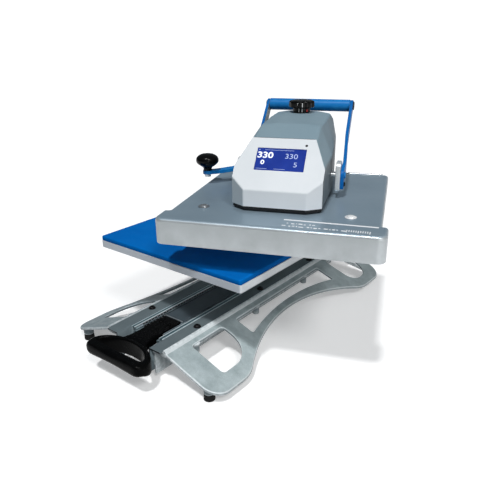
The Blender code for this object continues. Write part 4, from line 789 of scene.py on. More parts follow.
# ---- carriage and draw handle -------------------------------------------------------
channel = fillet([(-28.5, 30), (-25.5, 30), (-25.5, 65), (25.5, 65), (25.5, 30), (28.5, 30), (28.5, 68), (-28.5, 68)], [0.9, 0.9, 1.2, 1.2, 0.9, 0.9, 3.0, 3.0], 4)
bm = loft([[(x, y, z) for x, z in channel] for y in (62.0, 556.0)])
make("carriage", bm, "slate", "drawer", replaces=["carriage_plate"], bevel=0.4, segments=2, limit=60)
top_plate = slab(rounded(-26.6, 26.6, 116.4, 552.0, 2.0), [rounded(-24.0, 24.0, 358.0, 482.0, 9.0)], eased(68.1, 71.5, 0.3, 0.6))
make("carriage_top", top_plate, "slate", "drawer")
edge = slab(rounded(-26.0, 26.0, 116.6, 119.0, 0.8), [], eased(71.3, 72.0, 0.1, 0.25))
make("carriage_edge", edge, "washer", "drawer")


def hit(loop, centre, angle):
    """How far a ray from centre runs before it leaves a loop."""
    direction = Vector((math.cos(angle), math.sin(angle)))
    best = 0.0
    for a, b in zip(loop, loop[1:] + loop[:1]):
        p, q = Vector(a) - centre, Vector(b) - centre
        edge = q - p
        bottom = direction.x * edge.y - direction.y * edge.x
        if abs(bottom) < 1e-9:
            continue
        t = (p.x * edge.y - p.y * edge.x) / bottom
        s = (p.x * direction.y - p.y * direction.x) / bottom
        if t > 0 and -1e-6 <= s <= 1 + 1e-6:
            best = max(best, t)
    return best


steps = 40
half_turn = [math.pi * k / steps for k in range(steps + 1)]
outer_loop = [(83.0 * math.cos(a), -42.0 + 50.0 * math.sin(a)) for a in half_turn]
outer_loop += fillet([(-83, -42), (-80, -60), (80, -60), (83, -42)], [0, 13, 13, 0], 8)[1:-1]
inner_loop = [(68.0 * math.cos(a), -40.0 + 37.0 * math.sin(a)) for a in half_turn]
inner_loop = inner_loop[2:-2]
inner_loop = [(67.2, -37.5)] + inner_loop + [(-67.2, -37.5), (-64.0, -39.8), (64.0, -39.8)]
centre = Vector((0.0, -24.0))
rings = []
for k in range(120):
    a = 2 * math.pi * k / 120
    direction = Vector((math.cos(a), math.sin(a)))
    r0, r1 = hit(inner_loop, centre, a), hit(outer_loop, centre, a)
    tight, soft = min(5.0, (r1 - r0) * 0.26), min(9.6, (r1 - r0) * 0.5)
    # the body behind the finger hole hangs lower than the bar
    share = min(1.0, max(0.0, (centre.y + direction.y * r1 + 60.0) / 44.0))
    low = 45.0 - 11.0 * share * share * (3.0 - 2.0 * share)
    corners = [(r0, low), (r1, low), (r1, 71.0), (r0, 71.0)]
    ring = []
    for r, z in fillet(corners, [tight, soft, soft, tight], 7):
        p = centre + direction * r
        ring.append((p.x, p.y, z))
    rings.append(ring)
bm = loft(rings, closed=True)
neck = []
for y, half, z0, z1 in ((-0.6, 35.0, 51.0, 66.5), (3.0, 34.0, 51.4, 69.0), (8.0, 31.0, 52.2, 70.2), (14.0, 28.2, 53.0, 70.9), (24.0, 26.2, 53.6, 71.6), (36.0, 25.4, 54.0, 71.9), (58.0, 25.4, 54.0, 72.0), (60.0, 25.2, 54.6, 71.8)):
    neck.append([(x, y, z) for x, z in fillet([(-half, z0), (half, z0), (half, z1), (-half, z1)], [2.5, 2.5, 4.0, 4.0], 5)])
add(bm, loft(neck))
add(bm, slab(rounded(-25.3, 25.3, 52.0, 115.0, 3.0), [], eased(68.4, 71.9, 0.4, 0.9)))
make("pull", bm, "moulded", "drawer", replaces=["draw_handle"], smooth=38)
screws = bmesh.new()
for x in (-13.0, 13.0):
    add(screws, socket_screw(x, 92.0, 71.8, 5.0, 2.2))
make("pull_screws", screws, "moulded", "drawer", smooth=40)

# ---- lower platen -------------------------------------------------------------------
rings = []
for z, half, y0, y1, r in (
    (68.6, 21.6, 360.4, 479.6, 8), (82, 21.6, 360.4, 479.6, 8), (87, 24, 358.5, 481.5, 9), (92, 31, 355, 485, 10), (97, 41, 352, 488, 11),
    (101, 45.2, 350.4, 489.6, 12), (106, 46, 350, 490, 12), (166, 46, 350, 490, 12), (172, 47.5, 349.2, 490.2, 12), (177, 55, 342, 491.4, 13), (182, 76, 322, 494.4, 14),
    (185, 98, 302, 498, 14), (187.5, 108, 292, 499.5, 14), (190, 110, 290, 500, 14), (197.2, 110, 290, 500, 14), (198.0, 109.2, 290.8, 499.2, 13.4),
):
    rings.append([(x, y, z) for x, y in rounded(-half, half, y0, y1, r, 6)])
make("stand", loft(rings), "cast", "drawer", replaces=["pedestal"], smooth=50)
make("bed", slab(rounded(-203, 203, 100, 506, 5, 6), [], eased(198.6, 214.4, 0.8, 0.8)), "plate", "drawer", replaces=["lower_plate"])

# the silicone pad: a soft slab with a full round edge, lying flat, with a slight swell of its sides
half, y0, y1, z0, z1 = 202.5, 100.5, 505.5, 214.6, 225.4
side_profile = [(2.6, z0), (1.0, z0 + 0.3), (0.35, z0 + 1.2), (0.1, z0 + 3.4), (0.0, z0 + 5.6), (0.15, z0 + 7.6), (0.55, z1 - 1.5), (1.2, z1 - 0.65), (2.2, z1 - 0.2), (3.6, z1 - 0.08)]
side_profile += [(9.0, z1 - 0.04), (24.0, z1 - 0.02), (60.0, z1), (120.0, z1), (180.0, z1)]
bm = bmesh.new()
rows = []
for d, z in side_profile:
    rows.append([bm.verts.new((x, y, z)) for x, y in rounded(-half + d, half - d, y0 + d, y1 - d, 5.0 - min(d, 3.4), 6)])
for low, high in zip(rows, rows[1:]):
    for i in range(len(low)):
        j = (i + 1) % len(low)
        bm.faces.new((low[i], low[j], high[j], high[i]))
bm.faces.new(list(reversed(rows[0])))
bm.faces.new(rows[-1])
pad = make("pad", bm, "pad", "drawer", replaces=["silicone_pad"], smooth=60)

# ---- swing arm and its bearing ------------------------------------------------------
ARM_HALF, ARM_Z = 34.0, (344.4, 394.0)
bm = slab(
    fillet([(-34, -490), (34, -490), (34, -26), (-34, -26)], [3, 3, 0, 0], 4),
    [rounded(-18, 18, -481, -336, 2, 3)],
    eased(344.5, 394.0, 2.0, 4.5, 5),
)
add(bm, slab(rounded(-20, 20, -513, -484, 4, 4), [], eased(344.5, 380.0, 1.5, 3.0)))
hub = [(29.4, 319.4), (30.6, 318.6), (41.5, 318.6)] + arc(42.0, 321.6, 3.0, -90, 0, 4) + [(45.0, 340.0), (45.0, 400.2)] + arc(41.4, 400.4, 3.6, 0, 90, 5) + [(30.6, 404.0), (29.4, 403.0)]
count = 64
add(bm, loft([[(x, y, z) for x, y in circle(0, 0, r, count)] for r, z in hub], closed=True))
make("arm", bm, "iron", "head", HEAD, replaces=["swing_arm"], smooth=40)
cap = [(0, 410), (28, 410), (28, 404.5), (39.2, 404.5), (40, 405.3), (40, 410.0)] + arc(34.0, 410.6, 6.0, 0, 62, 5) + [(33.0, 417.1), (20, 417.8), (0, 418.0)]
make("column_cap", turned(cap, 56), "matte", "head", HEAD, replaces=["hub_cap"], smooth=40)
for name in ("hub_bush", "shaft_bush_right", "shaft_bush_left"):
    dress(name, "bronze", 0.3)

# ---- housing ------------------------------------------------------------------------
HOUSE_Z = 338.8
FRONT = [(62.0, -537.0, 372.0), (89.0, -518.0, 391.0), (89.0, -499.0, 410.0), (64.0, -452.0, 457.0)]
# back along the housing: v, half-width, shoulder z, roof half-width, roof z, crown z
SECTIONS = [
    (-386.0, 89.0, 413.0, 62.2, 473.5, 476.5),
    (-300.0, 83.0, 417.5, 63.5, 477.5, 483.0),
    (-232.0, 77.3, 421.0, 62.4, 479.0, 484.0),
    (-205.0, 75.0, 422.0, 66.0, 466.0, 468.0),
]
CROWN_HALF = 32.0
SLOPE_UP = Vector((0, math.sqrt(0.5), math.sqrt(0.5)))
SLOPE_OUT = Vector((0, -math.sqrt(0.5), math.sqrt(0.5)))
SCREEN_HALF, SCREEN_S = 49.0, (45.3, 96.7)


def on_slope(u, s, out=0.0):
    """A point of the sloping console face: s up the slope from its lower edge, out in front of it."""
    return tuple(Vector((u, FRONT[0][1], FRONT[0][2])) + SLOPE_UP * s + SLOPE_OUT * out)


def other(p):
    return (-p[0], p[1], p[2])


def skin(faces):
    bm = bmesh.new()
    seen = {}
    for face in faces:
        corners = []
        for p in face:
            key = tuple(round(c, 3) for c in p)
            if key not in seen:
                seen[key] = bm.verts.new(p)
            corners.append(seen[key])
        bm.faces.new(corners)
    bmesh.ops.recalc_face_normals(bm, faces=bm.faces)
    middle = sum((v.co for v in bm.verts), Vector()) / len(bm.verts)
    if sum((f.calc_center_median() - middle).dot(f.normal) * f.calc_area() for f in bm.faces) < 0:
        bmesh.ops.reverse_faces(bm, faces=bm.faces)
    return bm


def walled(name, bm, material, body, radius, thick, replaces, slot, limit=9.0, segments=5):
    """An open skin with rounded edges, made into a wall that grows inwards."""
    bmesh.ops.scale(bm, vec=(MM, MM, MM), verts=bm.verts)
    mesh = bpy.data.meshes.new(name)
    bm.to_mesh(mesh)
    bm.free()
    obj = bpy.data.objects.new(name, mesh)
    bpy.context.scene.collection.objects.link(obj)
    obj.matrix_world = HEAD
    mesh.materials.append(MAT[material])
    mesh.shade_smooth()
    edge = obj.modifiers.new("edge", "BEVEL")
    edge.width = radius * MM
    edge.segments = segments
    edge.limit_method = "ANGLE"
    edge.angle_limit = math.radians(limit)
    edge.use_clamp_overlap = True
    wall = obj.modifiers.new("wall", "SOLIDIFY")
    wall.thickness = thick * MM
    wall.offset = -1.0
    wall.use_even_offset = True
    wall.use_rim = True
    return obj


def settle(obj, body, replaces, bevel=0.0):
    """Finish a walled piece: ease its rims, smooth it and let it ride."""
    obj.data.shade_smooth()
    obj.data.set_sharp_from_angle(angle=math.radians(28))
    if bevel:
        rim = obj.modifiers.new("rim", "BEVEL")
        rim.width = bevel * MM
        rim.segments = 2
        rim.limit_method = "ANGLE"
        rim.angle_limit = math.radians(55)
    even = obj.modifiers.new("even", "WEIGHTED_NORMAL")
    even.keep_sharp = True
    even.weight = 60
    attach(obj, body)
    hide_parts(*replaces)
    return obj


low0, low1 = (FRONT[0][0], FRONT[0][1], HOUSE_Z), (FRONT[1][0], FRONT[1][1], HOUSE_Z)
f0, f1, f2, f3 = FRONT
hole = [on_slope(SCREEN_HALF, SCREEN_S[0]), on_slope(SCREEN_HALF, SCREEN_S[1]), on_slope(-SCREEN_HALF, SCREEN_S[1]), on_slope(-SCREEN_HALF, SCREEN_S[0])]
bezel = walled(
    "bezel",
    skin(
        [
            [other(low0), low0, f0, other(f0)],
            [low0, low1, f1, f0],
            [other(low0), other(f0), other(f1), other(low1)],
            [f0, f1, f2, f3, other(f3), other(f2), other(f1), other(f0)],
        ]
    ),
    "bezel", "head", 2.4, 3.0, [], None,
)
baked(bezel)
window = slab(rounded(-SCREEN_HALF, SCREEN_HALF, SCREEN_S[0], SCREEN_S[1], 1.2, 3), [], [(0.0, -8.0), (0.0, 4.0)])
for vert in window.verts:
    vert.co = on_slope(vert.co.x, vert.co.y, vert.co.z)
cut(bezel, window)
settle(bezel, "head", ["console_bezel"], 0.45)

rim = [(p[0], p[1] + 3.6, p[2]) for p in (low1, f1, f2, f3)]
bottom = [(w, v, HOUSE_Z) for v, w, _, _, _, _ in SECTIONS]
shoulder = [(w, v, z) for v, w, z, _, _, _ in SECTIONS]
roof = [(w, v, z) for v, _, _, w, z, _ in SECTIONS]
crown = [(CROWN_HALF, v, z) for v, _, _, _, _, z in SECTIONS]
brow = (CROWN_HALF, rim[3][1], rim[3][2])
faces = []
for flip in (False, True):
    turn = other if flip else (lambda p: p)
    sheet = [[rim[0], bottom[0], shoulder[0], rim[2], rim[1]], [rim[2], shoulder[0], roof[0], rim[3]], [rim[3], roof[0], crown[0], brow]]
    for i in range(len(SECTIONS) - 1):
        sheet.append([bottom[i], bottom[i + 1], shoulder[i + 1], shoulder[i]])
        sheet.append([shoulder[i], shoulder[i + 1], roof[i + 1], roof[i]])
        sheet.append([roof[i], roof[i + 1], crown[i + 1], crown[i]])
    faces += [[turn(p) for p in face] for face in sheet]
faces.append([brow, crown[0], other(crown[0]), other(brow)])
for i in range(len(SECTIONS) - 1):
    faces.append([crown[i], crown[i + 1], other(crown[i + 1]), other(crown[i])])
outline = [bottom[-1], shoulder[-1], roof[-1], crown[-1]]
faces.append(outline + [other(p) for p in reversed(outline)])
cover = walled("rear_shell", skin(faces), "shell", "head", 4.5, 2.6, [], None, 5.0)
baked(cover)
LEVER_FROM, LEVER_TO, LEVER_Z = (-34.6, -241.0), (-199.0, -351.0), (351.0, 359.0)
LEVER_FLAT, LEVER_RISE = 26.0, 0.075
direction = (Vector(LEVER_TO) - Vector(LEVER_FROM)).normalized()
across = Vector((-direction.y, direction.x))


def lever_point(along, sideways):
    return tuple(Vector(LEVER_FROM) + direction * along + across * sideways)


length = (Vector(LEVER_TO) - Vector(LEVER_FROM)).length


def lever_lift(x, y):
    """How far the side lever has climbed at a plan point, from its flat end toward the arm."""
    gone = (Vector((x, y)) - Vector(LEVER_FROM)).dot(direction)
    far = length - LEVER_FLAT - gone
    return LEVER_RISE * (far if far > 6.0 else max(0.0, far + 6.0) ** 2 / 24.0)


slot = prism([lever_point(20, -12.5), lever_point(110, -12.5), lever_point(110, 12.5), lever_point(20, 12.5)], 349.5, 360.5)
for vert in slot.verts:
    vert.co.z += lever_lift(vert.co.x, vert.co.y)
cut(
    cover,
    cylinder_x(-395.0, 376.0, 5.6, -120, 120, 24),
    cylinder(0, -262.0, 7.0, 470, 500, 24),
    box(-35.5, 35.5, -230, -180, 330, 395.5),
    box(54.0 - 13.6, 54.0 + 13.6, -215, -195, 367.9, 388.1),
    box(-54.0 - 10.5, -54.0 + 10.5, -215, -195, 369.8, 386.2),
    slot,
)
settle(cover, "head", ["rear_cover"], 0.35)
plan = [(57.4, -532.6), (84.6, -514.6), (84.6, -386.0), (78.9, -300.0), (73.2, -232.0), (71.2, -209.4)]
plan = fillet(plan + [(-x, y) for x, y in reversed(plan)], [3.0] * 12, 3)
# the lower black flange fills the band between the housing's rim and the cover: partly a dark base, partly painted
# shade under the housing
flange = [(61.2, -535.8), (88.0, -517.2), (88.0, -386.0), (82.0, -300.0), (76.3, -232.0), (74.2, -206.4)]
flange = fillet(flange + [(-x, y) for x, y in reversed(flange)], [3.0] * 12, 3)
opening = rounded(-30.0, 30.0, -520.0, -284.0, 2.0)
bm = slab(flange, [opening], eased(332.0, 338.4, 1.2, 0.4))
add(bm, slab(plan, [opening], eased(338.0, 344.0, 0.2, 0.5)))
make("tray", bm, "matte", "head", HEAD, replaces=["base_tray"], smooth=35)
dress("control_board", "board", 0.2)

# display: a dark gasket, the lit panel and its readings
gasket = slab(
    rounded(-48.65, 48.65, SCREEN_S[0] + 0.35, SCREEN_S[1] - 0.35, 1.0, 3),
    [rounded(-47.0, 47.0, SCREEN_S[0] + 1.9, SCREEN_S[1] - 1.9, 0.6, 3)],
    eased(-2.6, -0.5, 0.2, 0.3),
)
panel = slab(rounded(-47.4, 47.4, SCREEN_S[0] + 1.6, SCREEN_S[1] - 1.6, 0.8, 3), [], eased(-2.7, -1.0, 0.2, 0.25))
for name, bm, material in (("display_gasket", gasket, "lcd"), ("display", panel, "lcd")):
    for vert in bm.verts:
        vert.co = on_slope(vert.co.x, vert.co.y, vert.co.z)
    if name == "display":
        make(name, bm, material, "head", HEAD, replaces=["screen"])
    else:
        make(name, bm, material, "head", HEAD)


def reading(name, text, u, s, height, bold, material, wide=1.0):
    """Figures on the display, standing just proud of the lit panel."""
    curve = bpy.data.curves.new(name + "_text", "FONT")
    curve.body = text
    curve.size = height / 0.729
    curve.offset = bold
    curve.align_x = "LEFT"
    curve.extrude = 0.0
    holder = bpy.data.objects.new(name + "_text", curve)
    bpy.context.scene.collection.objects.link(holder)
    bpy.context.view_layer.update()
    flat = bpy.data.meshes.new_from_object(holder.evaluated_get(bpy.context.evaluated_depsgraph_get()))
    bpy.data.objects.remove(holder, do_unlink=True)
    bm = bmesh.new()
    bm.from_mesh(flat)
    bpy.data.meshes.remove(flat)
    bmesh.ops.remove_doubles(bm, verts=bm.verts, dist=1e-3)
    made = bmesh.ops.extrude_face_region(bm, geom=list(bm.faces))
    for item in made["geom"]:
        if isinstance(item, bmesh.types.BMVert):
            item.co.z += 0.25
    for vert in bm.verts:
        vert.co = on_slope(u + vert.co.x * wide, s + vert.co.y, -1.05 + vert.co.z)
    return make(name, bm, material, "head", HEAD, smooth=30, weighted=False)


top = SCREEN_S[1] - 2.0
reading("reading_a", "330", -47.6, top - 20.2, 13.8, 0.5, "digit", 1.14)
reading("reading_b", "0", -38.5, top - 34.9, 9.6, 0.45, "digit", 1.15)
reading("reading_c", "330", 7.5, top - 20.2, 11.4, -0.05, "soft_digit", 1.12)
reading("reading_d", "5", 26.5, top - 38.6, 11.0, -0.05, "soft_digit", 1.12)
lines = bmesh.new()
for u0, u1, s0, s1 in ((-46.0, -43.5, top - 2.6, top - 1.4), (-34.0, 24.0, top - 2.3, top - 1.7), (-46.0, -24.0, 49.4, 50.0), (-10.0, 12.0, 49.4, 50.0)):
    bar = slab([(u0, s0), (u1, s0), (u1, s1), (u0, s1)], [], [(0.0, -1.05), (0.0, -0.85)])
    for vert in bar.verts:
        vert.co = on_slope(vert.co.x, vert.co.y, vert.co.z)
    add(lines, bar)
make("reading_lines", lines, "soft_digit", "head", HEAD)
dot = turned([(0, -1.2), (2.6, -1.2), (2.6, 0.2), (2.2, 0.55), (0, 0.6)], 24)
for vert in dot.verts:
    vert.co = on_slope(47.0 + vert.co.x, 105.0 + vert.co.y, vert.co.z)
make("sensor_dot", dot, "matte", "head", HEAD)

dress("mains_inlet", "matte", 0.5)
dress("power_switch", "gloss", 0.6)

# ---- side lever ---------------------------------------------------------------------
w = 11.0
start = [(LEVER_FROM[0], LEVER_FROM[1] + s * w / abs(direction.x)) for s in (1, -1)]
tip = [lever_point(length + w * math.sin(a), w * math.cos(a)) for a in (math.pi * k / 16 for k in range(17))]
near = sorted(start, key=lambda p: -(Vector(p) - Vector(LEVER_FROM)).dot(across))
bar_rows = []
for k in range(25):
    share = k / 24
    flank = [Vector(near[i]) * (1 - share) + Vector(tip[0 if i == 0 else -1]) * share for i in (0, 1)]
    bar_rows.append(flank)
for k in range(1, 16):
    if k < 8:
        bar_rows.append([Vector(tip[k]), Vector(tip[16 - k])])
bm = bmesh.new()
grid = []
for a, b in bar_rows:
    middle = (a + b) / 2
    row = []
    for q, dz in ((0.90, 0.0), (1.0, 0.9), (1.0, 6.8), (0.975, 7.6), (0.90, 8.0)):
        row.append((q, dz))
    loop = [(b, q, dz) for q, dz in row] + [(a, q, dz) for q, dz in reversed(row)]
    made = []
    for p, q, dz in loop:
        spot = middle + (p - middle) * q
        made.append(bm.verts.new((spot.x, spot.y, LEVER_Z[0] + dz + lever_lift(spot.x, spot.y))))
    grid.append(made)
for low, high in zip(grid, grid[1:]):
    for i in range(len(low)):
        j = (i + 1) % len(low)
        bm.faces.new((low[i], low[j], high[j], high[i]))
bm.faces.new(list(reversed(grid[0])))
bm.faces.new(grid[-1])
make("side_bar", bm, "blue", "head", HEAD, replaces=["swing_bar"])
k0 = LEVER_Z[1] + 0.3
profile = [(0, k0 - 15.6), (2.9, k0 - 15.6), (3.4, k0 - 15.0), (3.4, k0), (9.6, k0), (10.0, k0 + 0.6), (9.6, k0 + 4.0), (10.4, k0 + 6.2), (12.6, k0 + 8.4), (16.0, k0 + 10.5), (19.6, k0 + 13.0)]
profile += [(22.8, k0 + 15.8), (25.0, k0 + 18.8), (26.0, k0 + 22.0), (25.9, k0 + 25.2), (24.8, k0 + 28.6), (22.6, k0 + 31.6), (19.2, k0 + 34.3), (14.6, k0 + 36.5), (8.6, k0 + 37.9), (3.6, k0 + 38.3), (0, k0 + 38.4)]
make("side_knob", turned(profile, 56, LEVER_TO), "gloss", "head", HEAD, replaces=["swing_knob"], smooth=60)
hexagon = [(LEVER_TO[0] + 7.5 * math.cos(math.pi * k / 3), LEVER_TO[1] + 7.5 * math.sin(math.pi * k / 3)) for k in range(6)]
nut = slab(hexagon, [circle(LEVER_TO[0], LEVER_TO[1], 3.5, 24)], eased(344.6, 350.7, 0.6, 0.6))
make("side_nut", nut, "chrome", "head", HEAD, replaces=["swing_nut"], smooth=35)

# ---- handle -------------------------------------------------------------------------
GRIP_DV, GRIP_DZ = 248.0, 111.0
grip_at, knee = Vector((GRIP_DV, GRIP_DZ)), Vector((170.0, 48.0))
along, upward = knee.normalized(), (grip_at - knee).normalized()
over, outward = Vector((-along.y, along.x)), Vector((-upward.y, upward.x))
reach = (grip_at - knee).length
w = 13.0
# rows across the strap: up the leg from the hub, round the bend and on to the grip
strap_rows = [(along * 36.0, over, 0.0)]
strap_rows += [(along * p, over, 10.6 * (p - 36.0) / (knee.length - 36.0)) for p in (70.0, 105.0, 140.0)]
for k in range(9):
    t = k / 8
    p = (knee - along * 22.0) * (1 - t) ** 2 + knee * 2 * t * (1 - t) + (knee + upward * 22.0) * t * t
    side_way = (over * (1 - t) + outward * t).normalized()
    strap_rows.append((p, side_way, 10.6 - 1.5 * (1 - t) ** 2))
strap_rows += [(knee + upward * p, outward, 10.6 + 0.2 * p / reach) for p in (40.0, 60.0, reach)]
lower_part = [along * 36.0 - over * w, along * 36.0 + over * w]
lower_part += [Vector((w * math.cos(a), w * math.sin(a))) for a in (math.radians(d) for d in (105.8, 115, 124, 133, 143, 152, 162, 171, 180))]
lower_part += [Vector((-w, 4 - 28)), Vector((1.2 - w, 1.2 - 28)), Vector((4 - w, -28)), Vector((w - 4, -28)), Vector((w - 1.2, 1.2 - 28)), Vector((w, 4 - 28)), Vector((w, -w * 0.755))]
tip = [grip_at + upward * (w * math.sin(a)) - outward * (w * math.cos(a)) for a in (math.pi * k / 16 for k in range(1, 16))]
for label, side in SIDES:
    bm = bmesh.new()
    layers = []
    for u in (109.4, 116.4):
        root = [bm.verts.new((u, p.x, p.y)) for p in lower_part]
        low, high = [root[0]], [root[1]]
        for p, side_way, splay in strap_rows[1:]:
            low.append(bm.verts.new((u - splay, *(p - side_way * w))))
            high.append(bm.verts.new((u - splay, *(p + side_way * w))))
        end = [bm.verts.new((u - 10.8, p.x, p.y)) for p in tip]
        bm.faces.new(root)
        for i in range(len(low) - 1):
            bm.faces.new((low[i], low[i + 1], high[i + 1], high[i]))
        bm.faces.new([low[-1]] + end + [high[-1]])
        layers.append(low + end + list(reversed(high)) + root[2:])
    for i in range(len(layers[0])):
        j = (i + 1) % len(layers[0])
        bm.faces.new((layers[0][i], layers[0][j], layers[1][j], layers[1][i]))
    make("strap_" + label, flipped(bm, side), "strap", "handle", LEVER, replaces=["handle_arm_" + label], bevel=0.9, limit=40)
    outline = fillet([(-19, -31), (19, -31), (19, 29), (-19, 29)], [5, 5, 14, 14], 8)
    hub = slab(outline, [], eased(99.8, 109.3, 1.4, 0.9))
    for vert in hub.verts:
        x, y, z = vert.co
        vert.co = (z, x, y)
    make("hub_block_" + label, flipped(hub, side), "chrome", "handle", LEVER, replaces=["handle_hub_" + label], smooth=35)
    # rivet over the end of the shaft, tail bolt and the plug in the end of the grip
    rivet = turned([(0, 116.2), (6.4, 116.2), (6.9, 116.9), (6.6, 118.4), (5.2, 119.3), (0, 119.6)], 32, turn=TO_X)
    make("rivet_" + label, flipped(rivet, side), "blue", "handle", LEVER, smooth=40)
    bolt = socket_screw(0, 0, 116.3, 5.0, 3.0)
    bolt = moved(moved(bolt, TO_X), shift(0, 0, -19.0))
    make("tail_bolt_" + label, flipped(bolt, side), "screw", "handle", LEVER, smooth=40)
    plug = turned([(0, 0.0), (9.6, 0.0), (10.2, 0.7), (9.8, 2.2), (8.0, 3.0), (0, 3.3)], 32, turn=TO_X)
    plug = moved(plug, shift(105.4, GRIP_DV, GRIP_DZ))
    make("grip_plug_" + label, flipped(plug, side), "matte", "handle", LEVER, smooth=40)
grip = [(0, -98.4), (13.0, -98.4), (13.7, -98.0), (14.0, -97.2), (14.0, 97.2), (13.7, 98.0), (13.0, 98.4), (0, 98.4)]
make("grip", turned(grip, 48, turn=shift(0, GRIP_DV, GRIP_DZ) @ TO_X), "blue", "handle", LEVER, replaces=["grip_tube"], smooth=40)
dress("cross_shaft", "chrome", 0.4)
dress("cam_plate", "steel", 0.5)

# ---- upper platen -------------------------------------------------------------------
make("heater", slab(rounded(-202.8, 202.8, -606.0, -200.0, 5, 5), [], eased(273.0, 299.9, 1.0, 0.8)), "heat", "platen", HEAD, replaces=["heat_plate"])
NOSE, HALF, V0, V1, FRONT_V, TOP_Z = 215.5, 204.0, -563.9, -176.7, -621.7, 329.3
plan = [(-NOSE, FRONT_V), (NOSE, FRONT_V), (NOSE, V0), (HALF, V0 + 0.01), (HALF, V1), (-HALF, V1), (-HALF, V0 + 0.01), (-NOSE, V0)]
plan = fillet(plan, [18, 18, 6.5, 3, 11, 11, 3, 6.5], 8)


def skirt(x, y):
    """The lower edge: deep round the bumper, shallow along the cover."""
    if y < V0 + 1.0 and abs(x) > HALF - 0.2 or y < -590.0:
        return 278.3
    return 300.6


rings = [(3.0, 302.6), (3.0, lambda x, y: skirt(x, y) + 0.8), (2.4, skirt), (0.6, skirt), (0.15, lambda x, y: skirt(x, y) + 0.25), (0.0, lambda x, y: skirt(x, y) + 0.9)]
edge_r = 7.0
for k in range(8):
    a = math.radians(90 * k / 7)
    rings.append((edge_r * (1 - math.cos(a)), TOP_Z - edge_r + edge_r * math.sin(a)))
bm = slab(plan, [], rings)
make("cover", bm, "cover", "platen", HEAD, replaces=["platen_cover"], smooth=40)
# folded lip along the rear edge
lip = [(-4.2, 328.9), (-4.2, 330.2), (-3.4, 331.2), (-1.6, 331.6), (0.2, 331.2), (1.0, 330.2), (1.0, 328.9)]
make("cover_lip", loft([[(u, V1 - 3.2 + v, 328.9 + (z - 328.9) * s) for v, z in lip] for u, s in ((-190.5, 0.5), (-189.0, 1.0), (189.0, 1.0), (190.5, 0.5))]), "washer", "platen", HEAD, smooth=50)
for label, side in SIDES:
    x, y, top = 145.0, -530.0, TOP_Z + 0.3
    profile = [(0, top - 13), (2.6, top - 13), (3.0, top - 12.4), (3.0, top), (10.8, top), (11.4, top + 0.6), (11.1, top + 1.3), (7.6, top + 1.5)]
    profile += [(7.4, top + 2.8), (6.4, top + 3.6), (4.8, top + 4.0), (0, top + 4.1)]
    # identical studs: the right takes the white finish, a painted glint, and the left the duller washer finish, painted
    # shade
    make("cover_stud_" + label, flipped(turned(profile, 40, (x, y)), side), "stud" if side > 0 else "washer", "platen", HEAD, replaces=["cover_bolt_" + label], smooth=40)
# plain printed rule on the bumper
rule = bmesh.new()
a, b = Vector((26.5, -570.0)), Vector((198.0, -574.0))
line = (b - a).normalized()
side_way = Vector((line.y, -line.x))


def strip(p, q, width):
    d = (Vector(q) - Vector(p)).normalized()
    n = Vector((-d.y, d.x)) * (width / 2)
    p, q = Vector(p), Vector(q)
    return slab([tuple(p - n), tuple(q - n), tuple(q + n), tuple(p + n)], [], [(0.0, TOP_Z - 0.05), (0.0, TOP_Z + 0.12)])


add(rule, strip(a, b, 5.5))
for offset, gone, last, lengths in ((18.0, 9.0, 57.0, (3.0, 6.0, 2.2, 7.5, 4.0, 2.6, 5.5)), (32.0, 3.0, 112.0, (7.0, 3.2, 5.0, 2.4, 9.0, 4.4, 2.8, 6.2, 3.6))):
    k = 0
    while gone < last:
        p = a + line * gone + side_way * (offset + (1.6 if k % 3 == 1 else 0.0))
        add(rule, strip(p, p + line * lengths[k % len(lengths)], 4.6 if k % 2 else 3.4))
        gone += lengths[k % len(lengths)] + (2.4 if k % 4 else 6.0)
        k += 1
for k in range(11):
    p = a + line * (119.0 + 4.0 * k) + side_way * 26.0
    add(rule, strip(p, p + side_way * (13.0 if k % 5 == 0 else 9.5), 1.7))
make("rule", rule, "print", "platen", HEAD)
for name, material, ease in (("platen_carrier", "iron", 0.8), ("follower_pin", "chrome", 0.4), ("heating_element", "steel", 0.0)):
    dress(name, material, ease)

# ---- pressure knob ------------------------------------------------------------------
count = 128


def fluted(r, depth, z):
    ring = []
    for k in range(count):
        a = 2 * math.pi * k / count
        wave = math.cos(8 * a)
        ring.append(((r + depth * (1 - (1 - wave) ** 2 / 2)) * math.cos(a), (r + depth * (1 - (1 - wave) ** 2 / 2)) * math.sin(a), z))
    return ring


knob = [fluted(18.9, 0, 0.0), fluted(19.5, 0, 0.6), fluted(19.5, 0, 9.2), fluted(20.4, 0, 10.0), fluted(26.0, 0.8, 10.8), fluted(27.2, 1.2, 11.6), fluted(27.8, 1.4, 13.0), fluted(27.5, 1.4, 21.6), fluted(26.9, 1.3, 23.4), fluted(24.9, 0.9, 25.0), fluted(21.2, 0.4, 26.0), fluted(15.4, 0, 26.5), fluted(14.4, 0, 26.0), fluted(13.6, 0, 26.0), fluted(12.8, 0, 26.7), fluted(6.0, 0, 26.8)]
make("knob", loft(knob), "gloss", "pressure_knob", KNOB, replaces=["pressure_knob"], smooth=45)
